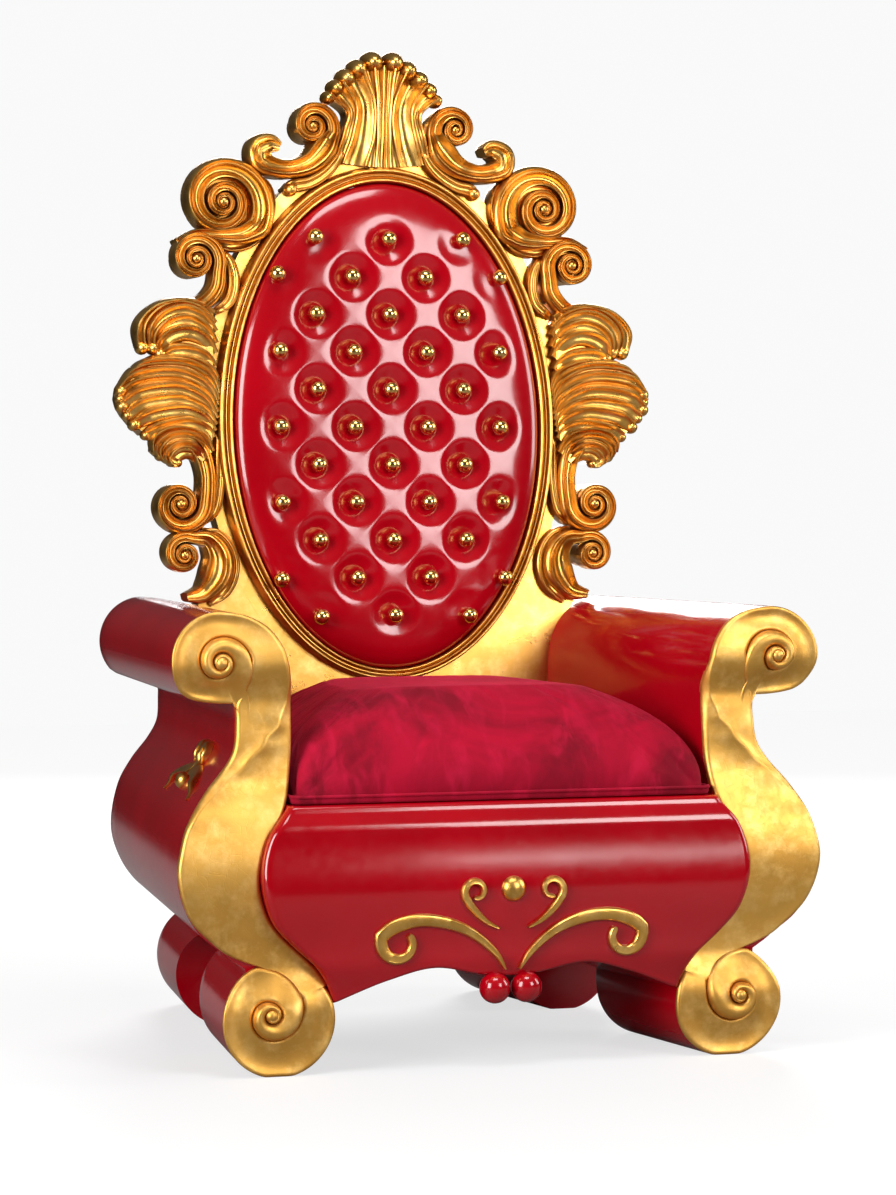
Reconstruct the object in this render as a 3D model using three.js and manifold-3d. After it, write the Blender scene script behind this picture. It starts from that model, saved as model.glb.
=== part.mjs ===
// A ceremonial throne: a red lacquered body with rolled arms and scroll feet, gilded scroll
// fronts, a gilded carved back frame around a tufted oval panel with studs, and a loose
// velvet seat cushion. Millimetres, +Z up, the front faces -Y, the right arm is at +X.
import * as THREE from 'three';
import { mergeVertices } from 'three/addons/utils/BufferGeometryUtils.js';
import Module from 'manifold-3d';

const wasm = await Module();
wasm.setup();

// ---- Driving dimensions --------------------------------------------------------------
// Depths (y) are measured from the front face of the scroll feet.
const GAP = 0.35;            // clearance between pieces that touch
const REAR = 970;            // rear face of the body
const FRONT_THICKNESS = 60;  // depth of the gilded scroll fronts
const DECK = 465;            // height of the seat deck
const TAPER_FLOOR = 0.122;   // how fast the sides close in toward the rear, at the floor
const TAPER_ARM = 0.090;     // and at arm height
const ARM_EYE = [515, 712];  // centre of the arm roll, seen from the front
const FOOT_EYE = [432, 108]; // centre of the foot scroll
const FOOT_ROLL = { centre: [416, 97], radius: 100 };
const SOLE = 0;              // the rolls are cut flat here, where they stand

const ARCH = { front: 320, rear: 660, top: 200, radius: 120 }; // side arch between the feet

const BACK_LEAN = 0.0586;    // the back leans by this much depth per height
const BACK_FACE = 672;       // depth of the back's flat ground at floor level
const BACK_DEPTH = 50;       // from that ground to the rear face of the frame
const RELIEF = 40;           // how far the scrolls stand in front of the ground
const REAR_BLOCK_TOP = 700;

const OVAL_IN = { a: 306, b: 466, z: 1131 };  // inner edge of the oval moulding
const OVAL_OUT = { a: 340, b: 495, z: 1135 }; // outer edge of the oval moulding
const OVAL_SIDES = 40;

const STUD = { radius: 11, sides: 7 };
const STUD_PITCH = { x: 73, z: 72 };
const STUD_MIDDLE = 1127;    // height of the middle row
const STUD_ROWS = 5;         // rows above and below the middle one
const TUFT_DEPTH = 15;

const CUSHION = {
  front: 14, rear: 660, half: 389, // depth at the front and the rear, and half width in front
  bottom: DECK + 1, hem: 476, top: 650,
  frontRound: 180, rearRound: 70, // how far in from the front and the rear the crown is reached
};

// ---- Materials -----------------------------------------------------------------------
const lacquer = new THREE.MeshStandardMaterial({ color: '#a30014', roughness: 0.16, metalness: 0 });
const gilding = new THREE.MeshStandardMaterial({ color: '#c79a45', roughness: 0.33, metalness: 1 });
const velvet = new THREE.MeshStandardMaterial({ color: '#a50030', roughness: 0.95, metalness: 0 });

// ---- Small tools ---------------------------------------------------------------------
const mix = (a, b, t) => a + (b - a) * t;
const radians = THREE.MathUtils.degToRad;

// A smooth function of one variable that passes through the given [position, value] rows.
function through(rows) {
  return (s) => {
    if (s <= rows[0][0]) return rows[0][1];
    for (let i = 1; i < rows.length; i += 1) {
      const [s0, v0] = rows[i - 1];
      const [s1, v1] = rows[i];
      if (s <= s1) return mix(v0, v1, 0.5 - 0.5 * Math.cos((Math.PI * (s - s0)) / (s1 - s0)));
    }
    return rows[rows.length - 1][1];
  };
}

// Points along an arc; angles in degrees, 0 toward +X and 90 up.
function arc([cx, cz], radius, from, to, steps) {
  const points = [];
  for (let i = 0; i <= steps; i += 1) {
    const angle = radians(mix(from, to, i / steps));
    points.push([cx + radius * Math.cos(angle), cz + radius * Math.sin(angle)]);
  }
  return points;
}

// Evenly spaced points on a smooth curve through a few rows of numbers of any width.
function smooth(rows, count) {
  const width = rows[0].length;
  const curve = new THREE.CatmullRomCurve3(rows.map((r) => new THREE.Vector3(r[0], r[1], 0)));
  curve.curveType = 'centripetal';
  const steps = (rows.length - 1) * 12;
  const fine = [];
  for (let i = 0; i <= steps; i += 1) {
    const place = curve.getPoint(i / steps);
    const k = Math.min(Math.floor(i / 12), rows.length - 2);
    const rest = [];
    for (let j = 2; j < width; j += 1) rest.push(mix(rows[k][j], rows[k + 1][j], i / 12 - k));
    fine.push([place.x, place.y, ...rest]);
  }
  const length = [0];
  for (let i = 1; i < fine.length; i += 1) {
    length.push(length[i - 1] + Math.hypot(fine[i][0] - fine[i - 1][0], fine[i][1] - fine[i - 1][1]));
  }
  const out = [];
  let i = 1;
  for (let n = 0; n < count; n += 1) {
    const want = (length[length.length - 1] * n) / (count - 1);
    while (i < fine.length - 1 && length[i] < want) i += 1;
    const share = Math.min((want - length[i - 1]) / (length[i] - length[i - 1]), 1);
    out.push(fine[i].map((v, j) => mix(fine[i - 1][j], v, share)));
  }
  return out;
}

// Rows [x, z, half width] of a logarithmic spiral about an eye, from the outside in.
function spiral({ eye, radius, from, turns, sense, shrink, share }, steps = 7) {
  const rows = [];
  const count = Math.ceil(turns * steps);
  for (let i = 0; i <= count; i += 1) {
    const turn = (turns * i) / count;
    const r = radius * shrink ** turn;
    const angle = radians(from + sense * 360 * turn);
    rows.push([eye[0] + r * Math.cos(angle), eye[1] + r * Math.sin(angle), r * share]);
  }
  return rows;
}

// The two edges of a band that runs along a centre line of [x, z, half width].
function edgesOf(line) {
  const left = [];
  const right = [];
  line.forEach(([x, z, half], i) => {
    const before = line[Math.max(i - 1, 0)];
    const after = line[Math.min(i + 1, line.length - 1)];
    const size = Math.hypot(after[0] - before[0], after[1] - before[1]);
    const nx = -(after[1] - before[1]) / size;
    const nz = (after[0] - before[0]) / size;
    left.push([x + nx * half, z + nz * half]);
    right.push([x - nx * half, z - nz * half]);
  });
  return [left, right];
}

// An outline moved outward by a small distance.
function grown(outline, by) {
  const turn = THREE.ShapeUtils.isClockWise(outline.map(([x, z]) => new THREE.Vector2(x, z))) ? 1 : -1;
  return outline.map(([x, z], i) => {
    const before = outline[(i + outline.length - 1) % outline.length];
    const after = outline[(i + 1) % outline.length];
    const size = Math.hypot(after[0] - before[0], after[1] - before[1]);
    return [x - (turn * by * (after[1] - before[1])) / size, z + (turn * by * (after[0] - before[0])) / size];
  });
}

// ---- Solids --------------------------------------------------------------------------
// A closed solid skinned over rings of equal length; `flat` is the ring's outline in two
// dimensions, used to fill the two ends. A looped skin has no ends.
function skin(rings, flat, looped = false) {
  const sides = rings[0].length;
  const vertices = rings.flat().flatMap((p) => [p.x, p.y, p.z]);
  const faces = [];
  const spans = looped ? rings.length : rings.length - 1;
  for (let i = 0; i < spans; i += 1) {
    const near = i * sides;
    const far = ((i + 1) % rings.length) * sides;
    for (let j = 0; j < sides; j += 1) {
      const k = (j + 1) % sides;
      faces.push([near + j, far + j, far + k], [near + j, far + k, near + k]);
    }
  }
  if (!looped) {
    const contour = flat.map(([x, y]) => new THREE.Vector2(x, y));
    const turned = THREE.ShapeUtils.isClockWise(contour);
    const last = (rings.length - 1) * sides;
    for (const [a, b, c] of THREE.ShapeUtils.triangulateShape(contour, [])) {
      if (turned) {
        faces.push([a, c, b], [last + a, last + b, last + c]);
      } else {
        faces.push([a, b, c], [last + a, last + c, last + b]);
      }
    }
  }
  return closed(vertices, faces);
}

// A manifold solid from vertices and faces, turned the right way out.
function closed(vertices, faces) {
  const at = (i) => new THREE.Vector3(vertices[3 * i], vertices[3 * i + 1], vertices[3 * i + 2]);
  let volume = 0;
  for (const [a, b, c] of faces) volume += at(a).dot(at(b).cross(at(c)));
  const outward = volume > 0 ? faces : faces.map(([a, b, c]) => [a, c, b]);
  return new wasm.Manifold(new wasm.Mesh({
    numProp: 3,
    vertProperties: new Float32Array(vertices),
    triVerts: new Uint32Array(outward.flat()),
  }));
}

// A solid from one of three's own closed geometries.
function fromGeometry(geometry) {
  const bare = new THREE.BufferGeometry();
  bare.setAttribute('position', geometry.getAttribute('position'));
  bare.setIndex(geometry.getIndex());
  const merged = mergeVertices(bare, 1e-4);
  const index = merged.getIndex().array;
  const faces = [];
  for (let i = 0; i < index.length; i += 3) {
    const face = [index[i], index[i + 1], index[i + 2]];
    if (new Set(face).size === 3) faces.push(face);
  }
  return closed(Array.from(merged.getAttribute('position').array), faces);
}

// An outline in (x, z) drawn out through two or more depths; `place` puts each point in space.
// A depth is a number or a function of height.
function prism(outline, depths, place = (x, y, z) => new THREE.Vector3(x, y, z)) {
  const depthAt = (depth, z) => (typeof depth === 'function' ? depth(z) : depth);
  const ring = (depth) => outline.map(([x, z]) => place(x, depthAt(depth, z), z));
  return skin(depths.map(ring), outline);
}

// A band between two edges with a moulded section. Each row of the section is [across, rise],
// across 0..1 from the first edge to the second; a rise of null is the band's underside.
function band([first, second], sectionAt, place) {
  const last = first.length - 1;
  const rings = first.map(([ax, az], i) => sectionAt(i / last).map(([across, rise]) => {
    const x = mix(ax, second[i][0], across);
    const z = mix(az, second[i][1], across);
    return place(x, z, rise);
  }));
  return skin(rings, sectionAt(0).map(([across, rise]) => [across * 100, rise ?? -100]));
}

// A rounded button: a half ball with a low cone under it, its foot at the origin, facing +Y up.
function button(radius, sides) {
  const profile = [[0, 0], [radius, 0.42 * radius], [0.84 * radius, 1.12 * radius], [0, 1.55 * radius]];
  return fromGeometry(new THREE.LatheGeometry(profile.map(([r, y]) => new THREE.Vector2(r, y)), sides));
}

function ball(radius, centre, squash = 1, sides = 12) {
  const sphere = new THREE.SphereGeometry(radius, sides, Math.round(sides / 2));
  sphere.scale(1, squash, 1);
  sphere.translate(...centre);
  return fromGeometry(sphere);
}

const union = (solids) => wasm.Manifold.union(solids);
const mirrored = (solid) => solid.mirror([1, 0, 0]);
const bothSides = (solid) => union([solid, mirrored(solid)]);

// The largest connected body of a solid, without the slivers that a cut can leave.
function mainBody(solid) {
  return solid.decompose().sort((a, b) => b.volume() - a.volume())[0];
}

// What is left of a piece once its neighbour and a thin gap around it are taken away.
// `directions` are the ways from the neighbour to the piece.
function clearOf(piece, neighbour, directions) {
  const shifts = directions.map((direction) => direction.map((part) => part * GAP));
  const rest = shifts.reduce((left, shift) => left.subtract(neighbour.translate(shift)), piece);
  return mainBody(rest);
}

function meshOf(name, solid, material) {
  const { vertProperties, triVerts } = solid.getMesh();
  const geometry = new THREE.BufferGeometry();
  geometry.setAttribute('position', new THREE.BufferAttribute(vertProperties, 3));
  geometry.setIndex(new THREE.BufferAttribute(triVerts, 1));
  geometry.computeVertexNormals();
  const mesh = new THREE.Mesh(geometry, material);
  mesh.name = name;
  return mesh;
}

// ---- Shared surfaces -----------------------------------------------------------------
// The sides close in toward the rear, more at the floor than at the arms.
const taper = through([[0, TAPER_FLOOR], [ARM_EYE[1], TAPER_ARM]]);
const sideways = (y, x, z) => new THREE.Vector3(x, y, z);
const side = (x, y, z) => new THREE.Vector3(x - Math.sign(x) * taper(z) * Math.max(y, 0), y, z);

// Depth of the scroll fronts' face, and of the bulging apron between them, by height.
const scrollFace = through([
  [0, 8], [110, 0], [190, 20], [350, 4], [560, 44], [640, 50], [712, 27], [800, 36],
]);
const apronFace = through([[120, 4], [200, -14], [310, -21], [420, -10], [DECK, 6]]);

// The right half of the arm, side and foot, seen from the front.
const footArc = arc(FOOT_ROLL.centre, FOOT_ROLL.radius, 48, -205, 15);
const sideOutline = [
  [400, 461], [388, 530], [386, 650], [391, 705], [406, 745], [432, 775], [470, 793],
  ...arc([515, 714], 85, 90, -40, 6), [548, 646], [518, 641], [487, 640],
  ...smooth([[485, 615], [490, 560], [508, 528], [545, 484], [575, 435], [594, 350], [580, 290],
    [552, 246], [513, 215], [474, 187]], 10),
  ...footArc.map(([x, z]) => [x, Math.max(z, SOLE)]),
  ...smooth([[336, 165], [352, 188], [392, 224], [430, 268], [450, 345], [436, 410]], 6),
];

// ---- Body ----------------------------------------------------------------------------
// One side with its arm roll and its two feet, drawn out from front to rear.
function makeArmSide() {
  const whole = prism(sideOutline, [FRONT_THICKNESS + GAP, REAR], side);
  return mainBody(whole.subtract(makeSideArch()));
}

// The inner face of a side as [half width, height] rows going up, with the gap left clear.
const besideSide = grown(sideOutline, GAP);
const lowerInner = [[318, 122], ...besideSide.slice(-7), besideSide[0]];
const upperInner = besideSide.slice(0, 4);
const deckHalf = besideSide[0][0] - 1;

// Rows added between two of those rows, so that a bulging face comes out round.
const halfway = (rows) => rows.flatMap((row, i) => {
  const next = rows[i + 1];
  return next ? [row, [mix(row[0], next[0], 0.5), mix(row[1], next[1], 0.5)]] : [row];
});

// What stands between the two sides, from a front that depends on height to the rear.
function betweenSides(rows, frontAt) {
  const rings = rows.map(([half, z]) => [
    [0, frontAt(z)], [half, frontAt(z)], [half, 12], [half, FRONT_THICKNESS + GAP], [half, REAR], [0, REAR],
  ].map(([x, y]) => side(x, y, z)));
  return bothSides(skin(rings, rings[0].map((p) => [p.x, p.y])));
}

// The seat box between the sides: flat deck, bulging apron, underside cut in a double arch.
function makeSeatBox() {
  const rows = [...halfway(lowerInner), [deckHalf, DECK]];
  const halfArch = smooth([[0, 160], [50, 164], [126, 179], [210, 160], [308, 116]], 11);
  const left = halfArch.slice(1).reverse().map(([x, z]) => [-x, z]);
  const underside = prism([...left, ...halfArch, [308, 90], [-308, 90]], [-100, REAR + 10], sideways);
  const whole = betweenSides(rows, apronFace).subtract(underside).subtract(makeSideArch());
  return mainBody(whole);
}

// The block between the arms that closes the rear and carries the back frame.
function makeRearBlock() {
  const foot = [mix(upperInner[0][0], upperInner[1][0], 0.08), DECK + GAP];
  const rows = [foot, ...upperInner.slice(1, 3), [upperInner[2][0], REAR_BLOCK_TOP]];
  const whole = betweenSides(rows, () => 0);
  const size = Math.hypot(1, BACK_LEAN);
  const front = BACK_FACE + BACK_DEPTH + GAP;
  return mainBody(whole.trimByPlane([0, 1 / size, -BACK_LEAN / size], front / size));
}

// The archway that passes under the body from side to side, between front and rear feet.
function makeSideArch() {
  const { front, rear, top, radius } = ARCH;
  const outline = [
    [front, -10], ...arc([front + radius, top - radius], radius, 180, 90, 5),
    ...arc([rear - radius, top - radius], radius, 90, 0, 5), [rear, -10],
  ];
  return prism(outline, [-700, 700], sideways);
}

// ---- Gilded scroll front (right one) -------------------------------------------------
const FRONT_COIL = { eye: ARM_EYE, radius: 66, from: 92, turns: 1.15, sense: -1, shrink: 0.5, share: 0.32 };
const FOOT_COIL = { eye: FOOT_EYE, radius: 86, from: 180, turns: 1.4, sense: 1, shrink: 0.5, share: 0.32 };

function makeScrollFront() {
  const stem = [
    // inner x, inner z, outer x, outer z
    [425, 766, 466, 733], [394, 705, 452, 690], [387, 640, 477, 640], [388, 560, 492, 560],
    [393, 490, 542, 490], [417, 420, 580, 420], [447, 350, 592, 350], [438, 285, 578, 290],
    [405, 237, 536, 236], [346, 182, 462, 188], [320, 135, 390, 152],
  ];
  const [armOuter, armInner] = edgesOf(spiral(FRONT_COIL));
  const [footInner, footOuter] = edgesOf(spiral(FOOT_COIL));
  const first = [...armOuter.slice(1).reverse(), ...stem.map((r) => [r[0], r[1]]), ...footOuter.slice(1)];
  const second = [...armInner.slice(1).reverse(), ...stem.map((r) => [r[2], r[3]]), ...footInner.slice(1)];
  const count = first.length - 1;
  const stemFrom = (armOuter.length - 2) / count;
  const stemTo = (armOuter.length - 1 + stem.length) / count;
  const arris = through([[stemFrom, 0.3], [mix(stemFrom, stemTo, 0.25), 0.35],
    [mix(stemFrom, stemTo, 0.55), 0.88], [mix(stemFrom, stemTo, 0.7), 0.85], [stemTo, 0.2]]);
  const rise = through([[0, 4], [stemFrom, 12], [mix(stemFrom, stemTo, 0.55), 8], [stemTo, 12], [1, 4]]);
  const sectionAt = (t) => [
    [0, null], [0, 0], [arris(t), rise(t)], [mix(arris(t), 1, 0.5), 0.4 * rise(t)], [1, 0], [1, null],
  ];
  const place = (x, z, up) => side(x, up === null ? FRONT_THICKNESS : scrollFace(z) - up, z);
  const slab = prism(sideOutline, [(z) => scrollFace(z) + 8, FRONT_THICKNESS], side);
  const armBall = ball(21, [ARM_EYE[0], scrollFace(ARM_EYE[1]) + 4, ARM_EYE[1]], 0.9);
  const footBall = ball(21, [FOOT_EYE[0], scrollFace(FOOT_EYE[1]) + 4, FOOT_EYE[1]], 0.9);
  const carved = union([slab, band([first, second], sectionAt, place), armBall, footBall]);
  return mainBody(carved.intersect(prism(sideOutline, [-100, 0, FRONT_THICKNESS], side)));
}

// ---- Back frame ----------------------------------------------------------------------
// Points of the back: `rise` is measured forward from the flat ground, null is the rear face.
const onBack = (x, z, rise) => {
  const up = rise === null ? -BACK_DEPTH : rise;
  return new THREE.Vector3(x, BACK_FACE + BACK_LEAN * z - up, z);
};

// A slab of the back from the rear face up to a given rise.
function slabOf(outline, rise) {
  return prism(outline, [(z) => onBack(0, z, rise).y, (z) => onBack(0, z, null).y]);
}

function ovalPoint({ a, b, z }, i, sides = OVAL_SIDES) {
  const angle = (2 * Math.PI * (i + 0.5)) / sides;
  return [a * Math.cos(angle), z + b * Math.sin(angle)];
}

function oval(size, sides = OVAL_SIDES) {
  return Array.from({ length: sides }, (unused, i) => ovalPoint(size, i, sides));
}

// A ridge at each edge and a hollow between, as on the scrolls and the flutes of the shell.
const scrollSection = (crest) => (t) => [
  [0, null], [0.1, crest(t)], [0.5, 0.55 * crest(t)], [0.88, crest(t)], [1, null],
];
// A rounded rib, as on the leaves.
const ribSection = (crest) => (t) => [[0, null], [0.4, crest(t)], [1, null]];

// A scroll: a hand-drawn tail of [x, z, half width] rows that winds into a spiral volute.
function makeScroll({ tail, coil, count }) {
  const turns = spiral(coil, 7);
  const approach = smooth([...tail, turns[0]], count).slice(0, -1);
  const line = [...approach, ...turns];
  const crest = through([[0, 22], [0.2, RELIEF - 6], [0.7, RELIEF - 4], [1, RELIEF - 10]]);
  const strip = band(edgesOf(line), scrollSection(crest), onBack);
  const [x, z] = coil.eye;
  const innerRadius = coil.radius * coil.shrink ** coil.turns;
  const bed = arc(coil.eye, coil.radius * 0.72, 0, 315, 7);
  const disc = slabOf(bed, 12);
  const eye = ball(innerRadius * 0.8, [x, onBack(x, z, RELIEF - 14).y, z], 1, 6);
  return union([strip, disc, eye]);
}

function makeRib(rows) {
  const crest = through([[0, 8], [0.6, RELIEF - 8], [1, RELIEF - 18]]);
  return band(edgesOf(smooth(rows, rows.length)), ribSection(crest), onBack);
}

const SCROLLS = [
  { // the C scroll beside the crest, from its hooked end
    tail: [[205, 1664, 8], [222, 1672, 14], [248, 1658, 20], [246, 1634, 22], [220, 1621, 17],
      [184, 1620, 17], [148, 1634, 22], [120, 1660, 26]],
    coil: { eye: [143, 1703], radius: 43, from: 195, turns: 1.3, sense: -1, shrink: 0.42, share: 0.38 },
    count: 12,
  },
  { // the large volute, its tail laid over the one below
    tail: [[412, 1476, 6], [375, 1491, 10], [330, 1489, 14], [284, 1492, 21]],
    coil: { eye: [322, 1553], radius: 84, from: 212, turns: 1.75, sense: -1, shrink: 0.46, share: 0.33 },
    count: 6,
  },
  { // the middle volute, which springs from the upper leaf
    tail: [[410, 1350, 12], [368, 1358, 16], [338, 1388, 17]],
    coil: { eye: [377, 1444], radius: 49, from: 200, turns: 1.5, sense: -1, shrink: 0.48, share: 0.32 },
    count: 5,
  },
  { // the S scroll, from the lower leaf down to its volute
    tail: [[454, 1080, 10], [442, 1103, 16], [405, 1108, 20], [374, 1082, 20], [361, 1040, 18],
      [361, 1005, 18]],
    coil: { eye: [415, 980], radius: 51, from: 182, turns: 1.3, sense: 1, shrink: 0.45, share: 0.36 },
    count: 9,
  },
  { // the lowest scroll, rising from the arm
    tail: [[402, 804, 9], [370, 812, 20], [344, 845, 31], [340, 882, 27], [360, 912, 18]],
    coil: { eye: [409, 884], radius: 37, from: 118, turns: 1.3, sense: -1, shrink: 0.48, share: 0.33 },
    count: 7,
  },
];

// The ribs of the leaves, each from its root to its tip as [x, z, half width].
const RIBS = [
  // upper leaf, curling outward
  [[352, 1268, 9], [370, 1325, 15], [412, 1345, 19], [456, 1338, 22], [486, 1308, 20], [482, 1268, 11]],
  [[361, 1256, 9], [384, 1300, 14], [418, 1313, 17], [448, 1298, 16], [452, 1264, 9]],
  [[368, 1243, 8], [390, 1272, 13], [415, 1278, 13], [428, 1256, 9]],
  // the wide fan
  [[345, 1192, 9], [370, 1218, 12], [425, 1246, 15], [478, 1246, 15], [514, 1228, 13]],
  [[348, 1180, 9], [374, 1200, 12], [435, 1222, 14], [495, 1215, 16], [531, 1196, 13]],
  [[350, 1167, 9], [377, 1180, 12], [440, 1192, 15], [496, 1184, 16], [533, 1168, 13]],
  [[349, 1154, 9], [375, 1160, 12], [435, 1163, 15], [485, 1155, 16], [516, 1143, 12]],
  [[347, 1139, 9], [373, 1142, 12], [420, 1136, 14], [462, 1129, 14], [484, 1119, 11]],
  // lower leaf, folded over the S scroll
  [[358, 1103, 9], [392, 1118, 12], [430, 1122, 14], [462, 1108, 14], [472, 1086, 11]],
  [[370, 1086, 9], [402, 1091, 12], [430, 1087, 14], [448, 1073, 13], [434, 1060, 9]],
];

// Half of the crest shell, as flutes from its foot to its scalloped rim.
const SHELL = [
  [[13, 1626, 13], [14, 1700, 14], [17, 1780, 17], [22, 1836, 22]],
  [[42, 1622, 18], [40, 1700, 15], [48, 1765, 17], [64, 1806, 20]],
  [[80, 1612, 22], [67, 1690, 16], [76, 1742, 17], [98, 1778, 19]],
];

function makeMoulding() {
  const section = [[0, null], [0.1, 22], [0.36, 12], [0.64, 30], [1, 12], [1, null]];
  const rings = Array.from({ length: OVAL_SIDES }, (unused, i) => section.map(([across, rise]) => {
    const [ax, az] = ovalPoint(OVAL_IN, i);
    const [bx, bz] = ovalPoint(OVAL_OUT, i);
    return onBack(mix(ax, bx, across), mix(az, bz, across), rise);
  }));
  return skin(rings, [], true);
}

// The flat ground behind the ornament, down to the deck between the arms.
function makeGround() {
  const wide = { a: OVAL_OUT.a + 24, b: OVAL_OUT.b + 34, z: OVAL_OUT.z };
  const lower = [[-345, DECK + GAP], [345, DECK + GAP], [345, 740], [380, 790], [340, 900], [-340, 900],
    [-380, 790], [-345, 740]];
  const plate = union([slabOf(oval(wide, 30), 0), slabOf(lower, 0)]);
  return plate;
}

function makeBackFrame() {
  const half = [...SCROLLS.map(makeScroll), ...RIBS.map(makeRib)];
  const flutes = SHELL.map((rows) => band(
    edgesOf(smooth(rows, 5)),
    scrollSection(through([[0, 14], [0.6, 26], [1, RELIEF]])),
    onBack,
  ));
  const rim = SHELL.map((rows) => {
    const [x, z, radius] = rows[rows.length - 1];
    return ball(radius, [x, onBack(x, z, 4).y, z], 1.9, 6);
  });
  const ornament = bothSides(union([...half, ...flutes, ...rim]));
  const opening = prism(oval(OVAL_IN), [500, 900]);
  const whole = union([makeGround(), makeMoulding(), ornament]).subtract(opening);
  const trimmed = whole.trimByPlane([0, 0, 1], DECK + GAP);
  const arm = prism(grown(sideOutline, GAP), [FRONT_THICKNESS, REAR + 10], side);
  return mainBody(trimmed.subtract(bothSides(arm)));
}

// ---- Tufted panel and its studs ------------------------------------------------------
const PANEL_EDGE = 8;        // rise of the panel where it meets the moulding
const PANEL_CROWN = 34;      // further rise of its face

const tuft = (x, z) => {
  const acrossWave = Math.cos((Math.PI * x) / STUD_PITCH.x);
  const upWave = Math.cos((Math.PI * (z - STUD_MIDDLE)) / STUD_PITCH.z);
  return 0.5 + 0.5 * acrossWave * upWave;
};

// How far out a point lies in the oval: 0 at the middle, 1 at the edge.
const outness = (x, z) => Math.hypot(x / OVAL_IN.a, (z - OVAL_IN.z) / OVAL_IN.b);

function panelCrown(x, z) {
  const edge = Math.max(1 - outness(x, z) ** 8, 0) ** 0.4;
  return PANEL_EDGE + PANEL_CROWN * edge;
}

function panelRise(x, z) {
  const fade = 1 - THREE.MathUtils.smoothstep(outness(x, z), 0.72, 0.98);
  return panelCrown(x, z) - TUFT_DEPTH * fade * (1 - tuft(x, z));
}

function makePanel() {
  const across = 17;
  const stepX = STUD_PITCH.x / 2;
  const stepZ = STUD_PITCH.z / 2;
  const down = 27;
  const rings = [];
  for (let j = 0; j < down; j += 1) {
    const z = STUD_MIDDLE + (j - (down - 1) / 2) * stepZ;
    const ring = [];
    for (let i = 0; i < across; i += 1) {
      const x = (i - (across - 1) / 2) * stepX;
      ring.push(onBack(x, z, panelRise(x, z)));
    }
    const edge = ((across - 1) / 2) * stepX;
    ring.push(onBack(edge, z, 10 - BACK_DEPTH), onBack(-edge, z, 10 - BACK_DEPTH));
    rings.push(ring);
  }
  const flat = rings[0].map((p) => [p.x, p.y]);
  const slab = skin(rings, flat);
  const inside = { a: OVAL_IN.a - GAP, b: OVAL_IN.b - GAP, z: OVAL_IN.z };
  return mainBody(slab.intersect(prism(oval(inside), [500, 900])));
}

function studPlaces() {
  const places = [];
  for (let row = -STUD_ROWS; row <= STUD_ROWS; row += 1) {
    const odd = Math.abs(row) % 2;
    const columns = odd ? [-2, 0, 2] : [-3, -1, 1, 3];
    for (const column of columns) places.push([column * STUD_PITCH.x, STUD_MIDDLE + row * STUD_PITCH.z]);
  }
  return places;
}

// A stud's seat and the way it faces, square to the panel's broad curve.
function studFrame([x, z]) {
  const reach = 4;
  const slopeX = (panelCrown(x + reach, z) - panelCrown(x - reach, z)) / (2 * reach);
  const slopeZ = (panelCrown(x, z + reach) - panelCrown(x, z - reach)) / (2 * reach) - BACK_LEAN;
  const facing = new THREE.Vector3(-slopeX, -1, -slopeZ).normalize();
  const seat = onBack(x, z, panelRise(x, z) + 2 * GAP);
  return { seat, facing };
}

function makeStud(name, place) {
  const { seat, facing } = studFrame(place);
  const mesh = meshOf(name, button(STUD.radius, STUD.sides), gilding);
  mesh.position.copy(seat);
  mesh.quaternion.setFromUnitVectors(new THREE.Vector3(0, 1, 0), facing);
  return mesh;
}

// ---- Seat cushion --------------------------------------------------------------------
// Its crown is a rounded square both from side to side and from front to rear.
const roundedSquare = (share, power) => (1 - share ** power) ** (1 / power);

function makeCushion() {
  const { front, rear, half, bottom, hem, top, frontRound, rearRound } = CUSHION;
  const columns = 14;
  const rows = 13;
  const rings = [];
  for (let j = 0; j <= rows; j += 1) {
    const y = mix(front, rear, 0.5 - 0.5 * Math.cos((Math.PI * j) / rows));
    const nearFront = Math.max((front + frontRound - y) / frontRound, 0);
    const nearRear = Math.max((y - (rear - rearRound)) / rearRound, 0);
    const crown = roundedSquare(nearFront, 2.6) * roundedSquare(nearRear, 2.5);
    const width = half - taper(hem) * y;
    const ring = [new THREE.Vector3(-width, y, bottom), new THREE.Vector3(width, y, bottom)];
    for (let i = 0; i <= columns; i += 1) {
      const across = Math.cos((Math.PI * i) / columns);
      const height = mix(hem, top, roundedSquare(Math.abs(across), 3.7) * crown);
      ring.push(new THREE.Vector3(width * across, y, height));
    }
    rings.push(ring);
  }
  return skin(rings, rings[6].map((p) => [p.x, p.z]));
}

// ---- Gilded trim on the apron and the sides ------------------------------------------
const TRIM_RISE = 9;

// A flat scroll with bevelled edges, laid on a surface that `place` describes.
function makeTrim(rows, coil, count, place) {
  const turns = spiral(coil, 8);
  const line = [...smooth([...rows, turns[0]], count).slice(0, -1), ...turns];
  const section = () => [[0, null], [0.25, TRIM_RISE], [0.75, TRIM_RISE], [1, null]];
  return band(edgesOf(line), section, place);
}

const BEFORE_APRON = [[0, -1, 0], [0, 0, -1], [0, -1, -1]]; // from the seat box to its apron trim

const onApron = (x, z, rise) => new THREE.Vector3(x, apronFace(z) - (rise ?? -12), z);

function makeApronScroll({ rows, coil, count }, seatBox) {
  const strip = makeTrim(rows, coil, count, onApron);
  return clearOf(strip, seatBox, BEFORE_APRON);
}

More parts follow.
